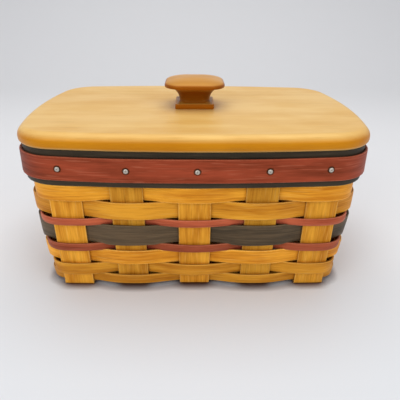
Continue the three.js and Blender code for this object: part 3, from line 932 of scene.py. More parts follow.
def new_material(name: str) -> tuple[Material, Sketch, Node]:
    """Makes a material.

    Args:
        name: The material's name.

    Returns:
        The material, a sketch of its nodes and its Principled BSDF.
    """
    material = bpy.data.materials.new(name)
    material.use_nodes = True
    sketch = Sketch(material.node_tree)
    return material, sketch, material.node_tree.nodes["Principled BSDF"]


@dataclass(frozen=True)
class Figure:
    """How strongly and how finely a wood shows its grain and the clouds of its stain."""

    fibre: float
    bands: float
    clouds: float
    even_stain: float
    fibres_per_metre: float
    bands_per_metre: float
    stretch: float
    fleck_from: float
    clouds_per_metre: float
    cloud_stretch: float

    def draw(self, sketch: Sketch, vector: Socket) -> tuple[Any, Socket, Socket]:
        """Draws the grain and the stain in a material.

        Args:
            sketch: The material's nodes.
            vector: Places in the wood, in metres, with x along the fibres.

        Returns:
            The grain's outputs, the stain's mask, and how dark the wood is, from 0 to 1.
        """
        fibres = {"Fibres per metre": self.fibres_per_metre, "Stretch": self.stretch}
        marks = {"Bands per metre": self.bands_per_metre, "Fleck": self.fleck_from}
        wood = sketch.group(grain_group(), {"Vector": vector, **fibres, **marks})
        spread = {"Clouds per metre": self.clouds_per_metre, "Stretch": self.cloud_stretch}
        stain = sketch.group(stain_group(), {"Vector": vector, **spread})["Mask"]
        fibre = sketch.math("MULTIPLY", wood["Fibre"], self.fibre)
        depth = sketch.math("ADD", fibre, sketch.math("MULTIPLY", wood["Bands"], self.bands))
        cloud = sketch.math("MULTIPLY", sketch.math("SUBTRACT", stain, self.even_stain), self.clouds)
        return wood, stain, sketch.math("ADD", depth, cloud, clamp=True)


SPLIT_WOOD = Figure(
    fibre=0.55, bands=0.38, clouds=0.6, even_stain=0.55, fibres_per_metre=1250, bands_per_metre=260,
    stretch=20, fleck_from=0.68, clouds_per_metre=60, cloud_stretch=3,
)
SAWN_WOOD = Figure(
    fibre=0.3, bands=0.3, clouds=0.42, even_stain=0.5, fibres_per_metre=1500, bands_per_metre=110,
    stretch=26, fleck_from=0.66, clouds_per_metre=42, cloud_stretch=2,
)


@dataclass(frozen=True)
class SplintFinish:
    """Split wood, stained or dyed, with its grain along the strip."""

    name: str
    slot: str
    light: Colour
    dark: Colour
    worn: Colour
    figure: Figure = SPLIT_WOOD
    fleck: float = 0.32
    fleck_light: float = 0.45
    streak: float = 0.25
    wear: float = 0.5
    wear_width: float = 0.6 * MM
    roughness: float = 0.44
    fibre_roughness: float = 0.16
    sheen: Colour = (1.0, 0.5, 0.12)
    # Darkening of the cut edges: extra stain, and painted shade of the gaps between strips
    cut_edge: float = 0.65
    cut_edge_light: float = 0.22
    # Shares of the thickness, from the face, over which the cut edge starts and ends
    cut_edge_start: Pair = (0.16, 0.45)
    cut_edge_end: Pair = (0.8, 0.97)
    bump: float = 0.35
    bump_height: float = 0.12 * MM
    # Dark ring round each fixing: rust stain, with painted shade round the tack's head
    fixing_row: float | None = None
    fixing_rust_and_shade: float = 2.5 * MM
    fixing_ragged: float = 0.7 * MM
    fixing_tears_per_metre: float = 900.0
    fixing_fade: Pair = (-0.3 * MM, 0.35 * MM)
    fixing_strength: float = 0.85
    fixing_light: float = 0.18

    def build(self) -> Material:
        """Builds the material.

        Returns:
            The material.
        """
        material, sketch, shader = new_material(self.name)
        grain = sketch.attribute("grain", "Vector")
        edge = sketch.attribute("edge")
        wood, _, depth = self.figure.draw(sketch, grain)
        wear = sketch.group(wear_group(), {"Vector": grain, "Edge": edge, "Width": self.wear_width})
        colour = sketch.mix(depth, self.light, self.dark)
        colour = sketch.layer(colour, dimmed(self.dark, self.fleck_light), wood["Fleck"], self.fleck)
        colour = sketch.layer(colour, self.worn, wood["Streak"], self.streak)
        colour = sketch.layer(colour, self.worn, wear["Mask"], self.wear)
        if self.fixing_row is not None:
            # Dark ring round each fixing: rust stain, with painted shade round the tack's head
            ring, rust_and_shade = self._ring_mask(sketch, grain, edge), dimmed(self.dark, self.fixing_light)
            colour = sketch.layer(colour, rust_and_shade, ring, self.fixing_strength)
        # Painted shade of the gaps between strips, on the cut edges, with their extra stain
        edge_stain_and_shade = dimmed(self.dark, self.cut_edge_light)
        colour = sketch.layer(colour, edge_stain_and_shade, self._cut_edge_mask(sketch), self.cut_edge)
        toned = sketch.vector("SCALE", colour, sketch.attribute("tone"))
        rough = sketch.math("MULTIPLY_ADD", wood["Fibre"], self.fibre_roughness, self.roughness)
        sketch.surface(shader, toned, rough, sketch.bump(wood["Height"], self.bump, self.bump_height))
        shader.inputs["Specular Tint"].default_value = (*self.sheen, 1.0)
        return material

    def _cut_edge_mask(self, sketch: Sketch) -> Socket:
        """Masks the narrow cut edges of a strip, darkened by the extra stain that they soak up and by
        painted shade of the gaps between strips.

        Args:
            sketch: The material's nodes.

        Returns:
            The mask.
        """
        deep = sketch.attribute("deep")
        below_face = sketch.ramp(deep, *self.cut_edge_start)
        above_back = sketch.math("SUBTRACT", 1.0, sketch.ramp(deep, *self.cut_edge_end))
        return sketch.math("MULTIPLY", below_face, above_back)

    def _ring_mask(self, sketch: Sketch, grain: Socket, edge: Socket) -> Socket:
        """Masks the dark ring round each fixing: rust stain, with painted shade round the tack's head.

        Args:
            sketch: The material's nodes.
            grain: Places on the strip.
            edge: Distances from the strip's edge.

        Returns:
            The mask.
        """
        along = sketch.attribute("near")
        across = sketch.math("SUBTRACT", self.fixing_row, edge)
        squares = (sketch.math("MULTIPLY", along, along), sketch.math("MULTIPLY", across, across))
        distance = sketch.math("SQRT", sketch.math("ADD", *squares))
        noise = sketch.noise(grain, self.fixing_tears_per_metre)
        ragged = sketch.math("MULTIPLY_ADD", noise, self.fixing_ragged, -self.fixing_ragged / 2)
        reach = sketch.math("SUBTRACT", self.fixing_rust_and_shade, sketch.math("ADD", distance, ragged))
        return sketch.ramp(reach, *self.fixing_fade)


@dataclass(frozen=True)
class BoardFinish:
    """Sawn wood under satin varnish, with its grain along one axis of the object."""

    name: str
    slot: str
    light: Colour
    dark: Colour
    # Colours of faces turned sideways: deeper stain on the edges, with painted shade; against them the
    # paler top colours hold a painted sheen
    side_light: Colour | None = None
    side_dark: Colour | None = None
    turn: tuple[float, float, float] = (0.0, 0.0, 0.0)
    figure: Figure = SAWN_WOOD
    fleck: float = 0.25
    fleck_light: float = 0.55
    roughness: float = 0.32
    stain_roughness: float = 0.08
    sheen: Colour = (1.0, 0.55, 0.15)
    side_from: float = 0.08
    side_full: float = 0.75
    # Strength and darkness of the painted shade under the knob's cap
    painted_cap_shade_strength: float = 0.5
    painted_cap_shade_light: float = 0.2
    bump: float = 0.12
    bump_height: float = 0.08 * MM

    def build(self) -> Material:
        """Builds the material.

        Returns:
            The material.
        """
        material, sketch, shader = new_material(self.name)
        place = sketch.add("ShaderNodeTexCoord").outputs["Object"]
        vector = sketch.add("ShaderNodeMapping", {"Vector": place, "Rotation": self.turn}).outputs[0]
        wood, stain, depth = self.figure.draw(sketch, vector)
        colour = sketch.mix(depth, self.light, self.dark)
        # Sideways faces get the side colours: partly deeper stain, partly painted shade, leaving the top
        # paler as a painted sheen
        if self.side_light and self.side_dark:
            side = sketch.ramp(sketch.attribute("side"), self.side_from, self.side_full)
            colour = sketch.mix(side, colour, sketch.mix(depth, self.side_light, self.side_dark))
            # Painted shade under the knob's cap, where its mask is stored
            pool = dimmed(self.side_dark, self.painted_cap_shade_light)
            colour = sketch.layer(colour, pool, sketch.attribute("pool"), self.painted_cap_shade_strength)
        colour = sketch.layer(colour, dimmed(self.dark, self.fleck_light), wood["Fleck"], self.fleck)
        rough = sketch.math("MULTIPLY_ADD", stain, self.stain_roughness, self.roughness)
        sketch.surface(shader, colour, rough, sketch.bump(wood["Height"], self.bump, self.bump_height))
        shader.inputs["Specular Tint"].default_value = (*self.sheen, 1.0)
        return material


@dataclass(frozen=True)
class MetalFinish:
    """Plated or plain steel, tarnished where the reach attribute nears its ends."""

    name: str
    slot: str
    bright: Colour
    tarnish: Colour
    roughness: float
    rim_start: float = 0.85
    dimple: float = 0.12
    dimple_edge: float = 0.14
    dimple_tarnish: float = 0.75
    spots: float = 0.3
    spots_per_metre: float = 1400.0
    tarnish_roughness: float = 0.3
    tooth_per_metre: float = 2600.0
    bump: float = 0.15
    bump_height: float = 0.05 * MM

    def build(self) -> Material:
        """Builds the material.

        Returns:
            The material.
        """
        material, sketch, shader = new_material(self.name)
        place = sketch.add("ShaderNodeTexCoord").outputs["Object"]
        share = sketch.attribute("reach")
        rim = sketch.ramp(share, self.rim_start, 1.0)
        past_dimple = sketch.ramp(share, self.dimple, self.dimple + self.dimple_edge)
        centre = sketch.math("MULTIPLY", sketch.math("SUBTRACT", 1.0, past_dimple), self.dimple_tarnish)
        spots = sketch.ramp(sketch.noise(place, self.spots_per_metre, 3, 0.6), 0.5, 0.75)
        spots = sketch.math("MULTIPLY", spots, self.spots)
        stained = sketch.math("ADD", sketch.math("MAXIMUM", rim, centre), spots, clamp=True)
        colour = sketch.mix(stained, self.bright, self.tarnish)
        rough = sketch.math("MULTIPLY_ADD", stained, self.tarnish_roughness, self.roughness)
        tooth = sketch.noise(place, self.tooth_per_metre)
        sketch.surface(shader, colour, rough, sketch.bump(tooth, self.bump, self.bump_height))
        shader.inputs["Metallic"].default_value = 1.0
        return material


class Finish(Enum):
    """The finishes of the basket."""

    UPRIGHT = SplintFinish(
        "honey_upright", "upright_splint", paint(244, 174, 56), paint(184, 108, 18), paint(242, 190, 98)
    )
    NATURAL = SplintFinish(
        "honey_splint", "natural_splint", paint(242, 168, 50), paint(182, 105, 16), paint(242, 188, 94)
    )
    RED_SPLINT = SplintFinish(
        "rust_red_splint", "red_splint", paint(186, 90, 62), paint(126, 48, 32), paint(196, 120, 92)
    )
    GREEN_SPLINT = SplintFinish(
        "grey_green_splint", "green_splint", paint(102, 81, 58), paint(49, 39, 28), paint(124, 104, 76),
        sheen=(0.8, 0.7, 0.5),
    )
    DARK_GREEN = SplintFinish(
        "dark_green_band", "dark_green_band", paint(58, 46, 33), paint(28, 23, 17), paint(88, 74, 56),
        sheen=(0.7, 0.65, 0.5),
    )
    RED_BAND = SplintFinish(
        "rust_red_band", "red_band", paint(160, 65, 45), paint(102, 34, 23), paint(182, 100, 76),
        streak=0.4, fixing_row=6.8 * MM, fixing_rust_and_shade=2.1 * MM,
    )
    # The lid's and the knob's side colours are partly painted shade, and their paler tops partly a painted
    # sheen
    LID = BoardFinish(
        "honey_maple_board", "lid_board", paint(227, 187, 113), paint(206, 153, 71),
        side_light=paint(204, 133, 20), side_dark=paint(180, 105, 8),
    )
    KNOB = BoardFinish(
        "honey_maple_knob", "knob", paint(204, 146, 62), paint(176, 116, 36),
        side_light=paint(160, 88, 9), side_dark=paint(132, 67, 4), side_from=0.04, side_full=0.34,
    )
    CLEAT = BoardFinish(
        "pale_maple_cleat", "cleat", paint(228, 182, 116), paint(200, 146, 80),
        turn=(0.0, 0.0, QUARTER_TURN),
    )
    NICKEL = MetalFinish("dull_nickel", "nickel_tack", paint(196, 188, 176), paint(84, 72, 62), 0.36)
    ZINC = MetalFinish(
        "zinc_screw", "zinc_screw", paint(186, 186, 180), paint(120, 116, 108), 0.42,
        rim_start=1.4, dimple=-1.0,
    )


@lru_cache(maxsize=None)
def material_of(finish: Finish) -> Material:
    """Builds a finish's material once."""
    return finish.value.build()


def place_piece(obj: Object, body: str, finish: Finish, nodes: Iterable[str]) -> None:
    """Seats a finished piece on its body and lets it stand for its CAD nodes.

    Args:
        obj: The piece.
        body: The body that it rides on.
        finish: Its finish.
        nodes: The CAD nodes that it stands for.
    """
    if not obj.data.materials or obj.data.materials[0] is None:
        obj.data.materials.clear()
        obj.data.materials.append(material_of(finish))
    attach(obj, body)
    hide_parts(*nodes)
    LOG.info("%s: %d faces, rides on %s", obj.name, len(obj.data.polygons), body)


# Strips


# The largest share of a strip's thickness that one edge's rounding can take
ROUNDEST_EDGE = 0.48
# How far inside each rounded edge a wide face has its outermost points
FACE_MARGIN = 0.25 * MM
# Distance to the nearest fixing on a strip that has none
NO_FIXING = 1.0


@dataclass(frozen=True)
class Section:
    """The cross-section of a strip: two wide faces and rounded edges, the outer face crowned."""

    width: float
    thickness: float
    edge_round: float = 0.3 * MM
    crown: float = 0.0
    steps_across: int = 4
    round_steps: int = 4

    def ring(self) -> Object:
        """Makes the closed ring, with thickness along x and width along y.

        Returns:
            The ring, as an object that has only edges.
        """
        rounding = min(self.edge_round, ROUNDEST_EDGE * self.thickness)
        reach_x = self.thickness / 2 - rounding
        reach_y = self.width / 2 - rounding
        points: list[Point] = []
        for quadrant, (sign_x, sign_y) in enumerate(QUADRANTS):
            centre = (sign_x * reach_x, sign_y * reach_y)
            points += [(x, y, 0.0) for x, y in corner_arc(centre, rounding, quadrant, self.round_steps)]
            if sign_x * sign_y < 0:
                side = sign_x * self.thickness / 2
                rise = self.crown if sign_x > 0 else 0.0
                near = sign_y * (reach_y - FACE_MARGIN)
                for y in np.linspace(near, -near, self.steps_across + 1):
                    points.append((side + rise * (1 - (y / reach_y) ** 2), y, 0.0))
        count = len(points)
        return mesh_object("section", points, (), [(k, (k + 1) % count) for k in range(count)])


@dataclass
class Guide:
    """The line that a strip follows, with the direction that the strip faces at each point.

    Curl, thin and widen may be left at zero, and near at the distance of a strip without fixings.
    """

    points: Array
    facing: Array
    curl: Array | float = 0.0
    thin: Array | float = 0.0
    widen: Array | float = 0.0
    near: Array | float = NO_FIXING

    @property
    def along(self) -> Array:
        """Distance along the line at each point."""
        gaps = np.linalg.norm(np.diff(self.points, axis=0), axis=1)
        return np.concatenate([[0.0], np.cumsum(gaps)])

    def line(self, name: str) -> Object:
        """Makes the line as a mesh of edges that carries its attributes.

        Args:
            name: The object's name.

        Returns:
            The object.
        """
        count = len(self.points)
        obj = mesh_object(name, self.points, (), [(k, k + 1) for k in range(count - 1)])
        store(obj.data, "facing", self.facing)
        store(obj.data, "widthways", np.cross(tangents(self.points), self.facing))
        store(obj.data, "along", self.along)
        for label in ("curl", "thin", "widen", "near"):
            store(obj.data, label, np.zeros(count) + getattr(self, label))
        return obj


def unit(vectors: Array) -> Array:
    """Scales each row to length 1."""
    return vectors / np.linalg.norm(vectors, axis=1, keepdims=True)


def tangents(points: Array) -> Array:
    """Returns the direction of a line at each of its points."""
    return unit(np.gradient(points, axis=0))


def wall_guide(position: Array, z: Array, offset: Array, lean: Array, **more: Any) -> Guide:
    """Lays a guide along the wall.

    Args:
        position: Positions along the wall, in order.
        z: Height of the strip's middle at each position.
        offset: Distance of the strip's middle from the middle of the uprights.
        lean: Angle by which the strip leans back at each position, in radians.
        **more: What else the guide carries.

    Returns:
        The guide.
    """
    middle_z = float(np.mean(z))
    points = WALL.points(position, middle_z, offset)
    above = WALL.points(position, middle_z + MM, offset)
    upward = unit(above - points)
    points = points + upward * ((z - middle_z) / upward[:, 2])[:, None]
    facing = unit(np.cross(tangents(points), upward))
    facing = unit(facing * np.cos(lean)[:, None] + upward * np.sin(lean)[:, None])
    return Guide(points, facing, **more)


@dataclass
class Strip:
    """One strip of wood: a section swept along a guide and dressed."""

    name: str
    section: Section
    guide: Guide
    finish: Finish
    seed: int
    curl_start: float = 0.0
    curl_side: float = 1.0
    tone: float = 1.0
    tone_range: Pair = (0.97, 1.03)
    grain_range: Pair = (0.1, 3.0)

    def build(self) -> Object:
        """Makes the strip.

        Returns:
            The strip.
        """
        rng = np.random.default_rng(self.seed)
        ring = self.section.ring()
        line = self.guide.line(self.name)
        values = {
            "Section": ring,
            "Half width": self.section.width / 2,
            "Half thickness": self.section.thickness / 2,
            "Curl start": self.curl_start,
            "Curl side": self.curl_side,
            "Grain shift": tuple(float(v) for v in rng.uniform(*self.grain_range, 3)),
            "Tone": self.tone * float(rng.uniform(*self.tone_range)),
            "Material": material_of(self.finish),
        }
        made = use_tree(line, strip_tree(), values)
        bpy.data.objects.remove(ring)
        return made


# Fixings


@dataclass
class Fixings:
    """Equal fixings in one piece, each on its foot and turned by chance about its axis."""

    name: str
    feet: list[Vector]
    axes: list[Vector]
    seed: int
    widest_spin: float
    finish: Finish
    size: float = 1.0

    def build(self, fixing: Object, body: str, nodes: list[str]) -> None:
        """Stands the fixings and seats them on their body.

        Args:
            fixing: One fixing that points up from the origin, which is removed.
            body: The body that they ride on.
            nodes: The CAD nodes that they stand for.
        """
        spins = np.random.default_rng(self.seed).uniform(0, self.widest_spin, len(self.feet))
        points = mesh_object(self.name, self.feet, ())
        store(points.data, "axis", np.array(self.axes))
        store(points.data, "spin", spins)
        values = {"Fixing": fixing, "Size": self.size, "Material": material_of(self.finish)}
        piece = use_tree(points, fixings_tree(), values)
        bpy.data.objects.remove(fixing)
        place_piece(piece, body, self.finish, nodes)


# The basket's sub-assemblies


@dataclass
class WovenRows:
    """Eight rows of weaving, each its own strip with its ends lapped over one upright at the back."""

    thickness: float = 1.2 * MM
    spring: float = 0.65 * MM
    ease: float = 0.6 * MM
    lap_past: float = 0.35 * MM
    lap_ramp: float = 9 * MM
    step: float = 1.5 * MM
    tight: float = 0.22 * MM
    # Edge rounding, crown and steps across
    reed: tuple[float, float, int] = (0.5 * MM, 0.26 * MM, 10)
    splint: tuple[float, float, int] = (0.36 * MM, 0.08 * MM, 6)
    wider_outside: tuple[float, ...] = (0.0, 0.0, 1.1 * MM, 0.0, 1.8 * MM, 0.0, 0.0, 0.0)
    raised_outside: tuple[float, ...] = (0.0, 0.0, 0.55 * MM, 0.0, 0.1 * MM, 0.0, 0.0, 0.0)
    full_width_from: float = 0.5
    offset_wobble: float = 0.05 * MM
    height_wobble: float = 0.09 * MM
    lean_wobble: float = math.radians(1.6)
    lean_waves: tuple[int, ...] = (5, 9, 14, 23)
    tones: tuple[float, ...] = (0.84, 0.83, 1.16, 0.84, 0.88, 1.14, 0.93, 1.16)
    finishes: tuple[Finish, ...] = (
        *[Finish.NATURAL] * 3,
        Finish.RED_SPLINT,
        Finish.GREEN_SPLINT,
        Finish.RED_SPLINT,
        *[Finish.NATURAL] * 2,
    )

    @property
    def swing(self) -> float:
        """How far a row stands off at an upright's edges."""
        return WALL.face + self.thickness / 2

    @property
    def hold(self) -> float:
        """Half the length over which a row is curved round an upright."""
        return WALL.upright_width / 2 + self.ease

    def weave(self, position: Array, first: int) -> Array:
        """Finds how far a row's middle stands out from the uprights.

        Args:
            position: Positions along the wall, within one round of the first upright.
            first: The number of an upright that the row passes outside.

        Returns:
            The distance at each position, negative inside the basket.
        """
        numbers = range(-1, len(WALL.upright_places) + 2)
        stops = np.array([WALL.upright_at(first + k) for k in numbers])
        sides = np.array([1.0 if k % 2 == 0 else -1.0 for k in numbers])
        following = np.searchsorted(stops, position)
        start, end = stops[following - 1], stops[following]
        past, left = position - start, end - position
        slope = 2 * self.spring / self.hold
        over_start = self.swing + self.spring * (1 - (past / self.hold) ** 2)
        over_end = self.swing + self.spring * (1 - (left / self.hold) ** 2)
        free = end - start - 2 * self.hold
        share = np.clip((past - self.hold) / free, 0, 1)
        bend = slope * free * share * (1 - share) * (1 - 2 * share)
        between = self.swing * (1 - 2 * eased(share)) - bend
        curved = np.where(past < self.hold, over_start, np.where(left < self.hold, -over_end, between))
        return sides[following - 1] * curved

    def build(self) -> None:
        """Builds every row."""
        middle = WALL.back_middle
        laps = (middle - 1, middle, middle + 1, middle)
        for row, finish in enumerate(self.finishes):
            node = f"weaver_row_{row + 1}"
            low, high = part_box(node)
            guide = self._guide(row, laps[row % len(laps)], low.z, high.z)
            width = high.z - low.z + self.tight
            guide.widen *= self.wider_outside[row] / width
            shape = self.reed if finish is Finish.RED_SPLINT else self.splint
            section = Section(width, self.thickness, *shape)
            seed = Seed.ROW_GRAIN + row
            piece = Strip(f"row_{row + 1}", section, guide, finish, seed, tone=self.tones[row]).build()
            place_piece(piece, "basket", finish, [node])

    def _guide(self, row: int, lap: int, low: float, high: float) -> Guide:
        """Lays one row's guide, its second end lifted onto its first.

        Args:
            row: The row's number, from 0 at the table.
            lap: The number of the upright that its ends lap over.
            low: Height of its lower edge.
            high: Height of its upper edge.

        Returns:
            The guide, widened in full wherever the row is well outside.
        """
        lap_half = self.hold + self.lap_past
        start = WALL.upright_at(lap) - lap_half
        end = WALL.upright_at(lap) + WALL.round + lap_half
        lifted = start + WALL.round
        position = np.linspace(start, end, round((end - start) / self.step) + 1)
        lift = np.clip((position - lifted + self.lap_ramp) / self.lap_ramp, 0, 1)
        lift = eased(lift) * (self.thickness + WALL.layer_gap)
        uneven = Wobble(Seed.ROW_OFFSET + row, self.offset_wobble).at(position)
        offset = self.weave(position, lap) + lift + uneven
        outside = eased(np.clip(offset / (self.full_width_from * self.swing), 0, 1))
        uneven = Wobble(Seed.ROW_HEIGHT + row, self.height_wobble).at(position)
        z = (low + high) / 2 + uneven + self.raised_outside[row] * outside
        lean = Wobble(Seed.ROW_LEAN + row, self.lean_wobble, self.lean_waves).at(position)
        return wall_guide(position, z, offset, lean, widen=outside)


@dataclass(frozen=True)
class Course:
    """Where one U-shaped splint runs: up two walls and across the base between them."""

    node: str
    lengthwise: bool
    centre: float
    walls: Pair
    # Run and level of each splint that it meets in the base
    crossings: list[Pair]
    seed: int
    tone: float

    def place(self, run: float) -> Pair:
        """Turns a run along the base into x and y."""
        return (run, self.centre) if self.lengthwise else (self.centre, run)


@dataclass
class Uprights:
    """Eight U-shaped splints that cross under the basket and stand up as sixteen uprights."""

    width: float = WALL.upright_width
    thickness: float = WALL.upright_thickness
    top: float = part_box("cross_splint_1")[1].z
    bend_radius: float = 1.6 * MM
    crossing_ease: float = 0.5 * MM
    base_lift: float = 1.2 * MM
    edge_round: float = 0.36 * MM
    steps_across: int = 14
    wall_step: float = 2.2 * MM
    base_step: float = 1.8 * MM
    bend_steps: int = 7
    cross_tones: tuple[float, ...] = (1.06, 0.82, 1.04, 0.76, 0.97)
    long_tones: tuple[float, ...] = (1.05, 0.98, 0.9)

    @property
    def levels(self) -> Pair:
        """Heights of the middle of a lower and of an upper splint in the base."""
        low = self.thickness / 2
        return low, low + self.thickness + WALL.layer_gap

    def lift(self, x: float) -> float:
        """How far the base is raised at a distance from its middle."""
        reach = WALL.cross_offsets[-1] - self.width / 2
        return 0.0 if abs(x) >= reach else self.base_lift * math.cos(QUARTER_TURN * x / reach) ** 2

    def build(self) -> None:
        """Builds every U-shaped splint."""
        for lengthwise in (False, True):
            for course in self._courses(lengthwise):
                self._splint(course)

    def _courses(self, lengthwise: bool) -> list[Course]:
        """Works out where the splints of one direction run.

        Args:
            lengthwise: True for those from end to end, False for those from front to back.

        Returns:
            The courses, from the front or the left.
        """
        label, seed, tones = "cross_splint", Seed.CROSS_GRAIN, self.cross_tones
        own, met = WALL.cross_offsets, WALL.long_offsets
        if lengthwise:
            label, seed, tones = "long_splint", Seed.LONG_GRAIN, self.long_tones
            own, met = met, own
        found: list[Course] = []
        for index, (centre, tone) in enumerate(zip(own, tones)):
            crossings = [(at, self.levels[(index + k + lengthwise) % 2]) for k, at in enumerate(met)]
            walls = (centre, 2 * WALL.quarter - centre)
            if lengthwise:
                walls = (3 * WALL.quarter - centre, WALL.quarter + centre)
            node = f"{label}_{index + 1}"
            found.append(Course(node, lengthwise, centre, walls, crossings, seed + index, tone))
        return found

    def _leg(self, course: Course, side: int) -> tuple[list[Vector], list[float], Vector]:
        """Lays the line down one wall and round the bend into the base.

        Args:
            course: The splint's course.
            side: 0 for its first wall, 1 for its second.

        Returns:
            The points, how much of the wall's curl each one has, and the wall's lateral.
        """
        axis = 0 if course.lengthwise else 1
        position = course.walls[side]
        level = course.crossings[-side][1]
        if not course.lengthwise:
            level += self.lift(course.centre)
        bend_top = level + self.bend_radius
        rise = np.linspace(self.top, bend_top, round((self.top - bend_top) / self.wall_step) + 1)
        points = [WALL.point(position, z, 0.0) for z in rise]
        foot_wall = points[-1]
        run = foot_wall[axis] - math.copysign(self.bend_radius, foot_wall[axis])
        foot = Vector((*course.place(run), level))
        curls = [1.0] * len(points)
        for angle in quarter_angles(self.bend_steps)[1:]:
            bent = foot.lerp(foot_wall, math.cos(angle))
            bent.z = level + self.bend_radius * (1 - math.sin(angle))
            points.append(bent)
            curls.append(math.cos(angle))
        outward = WALL.outward(position, bend_top)
        lateral = Vector((-outward.y, outward.x, 0))
        return points, curls, -lateral if side else lateral

    def _base(self, course: Course, start: Vector, end: Vector) -> list[Vector]:
        """Lays the line across the base.

        Args:
            course: The splint's course.
            start: The last point of its first leg.
            end: The last point of its second leg.

        Returns:
            The points between the two.
        """
        axis = 0 if course.lengthwise else 1
        count = round(abs(end[axis] - start[axis]) / self.base_step)
        points: list[Vector] = []
        for run in np.linspace(start[axis], end[axis], count + 1)[1:-1]:
            x, y = course.place(run)
            points.append(Vector((x, y, self._stepped(run, course.crossings) + self.lift(x))))
        return points

    def _stepped(self, run: float, crossings: list[Pair]) -> float:
        """Finds the level of a splint that holds still at crossings and changes between them.

        Args:
            run: A run along the base.
            crossings: Run and level of each crossing, in order.

        Returns:
            The level.
        """
        hold = self.width / 2 + self.crossing_ease
        if run <= crossings[0][0]:
            return crossings[0][1]
        for (start, low), (end, high) in zip(crossings, crossings[1:]):
            if run <= end:
                share = min(1.0, max(0.0, (run - start - hold) / (end - start - 2 * hold)))
                return low + (high - low) * eased(share)
        return crossings[-1][1]

    def _base_lateral(self, course: Course) -> Vector:
        """Finds which way a splint's width runs in the base.

        Args:
            course: The splint's course.

        Returns:
            The direction, which follows the base's lift under a splint from front to back.
        """
        if course.lengthwise:
            return Vector((0, -1, 0))
        tilt = (self.lift(course.centre + MM) - self.lift(course.centre - MM)) / (2 * MM)
        return Vector((1, 0, tilt)).normalized()

    def _splint(self, course: Course) -> None:
        """Sweeps and dresses one splint, its outer edge curled where the wall turns its corner.

        Args:
            course: The splint's course.
        """
        first, first_curl, first_lateral = self._leg(course, 0)
        second, second_curl, second_lateral = self._leg(course, 1)
        base = self._base(course, first[-1], second[-1])
        points = np.array([*first, *base, *second[::-1]])
        curl = np.array([*first_curl, *[0.0] * len(base), *second_curl[::-1]])
        counts = (len(first), len(base), len(second))
        laterals = np.repeat([first_lateral, self._base_lateral(course), second_lateral], counts, axis=0)
        facing = unit(np.cross(tangents(points), unit(laterals)))
        half = self.width / 2
        straight, curl_side = (WALL.lengths[2], 1) if course.lengthwise else (WALL.lengths[0], -1)
        curl_start = straight - abs(course.centre)
        corners = np.array([WALL.outline(z).corner for z in points[:, 2]])
        drop = max(0.0, half - curl_start) ** 2 / (2 * corners)
        strip = Strip(
            course.node.replace("splint", "upright"),
            Section(self.width, self.thickness, self.edge_round, steps_across=self.steps_across),
            Guide(points, facing, curl=drop * curl),
            Finish.UPRIGHT,
            course.seed,
            curl_start=min(curl_start, half - MM),
            curl_side=curl_side if course.centre > 0 else -curl_side,
            tone=course.tone,
        )
        place_piece(strip.build(), "basket", Finish.UPRIGHT, [course.node])


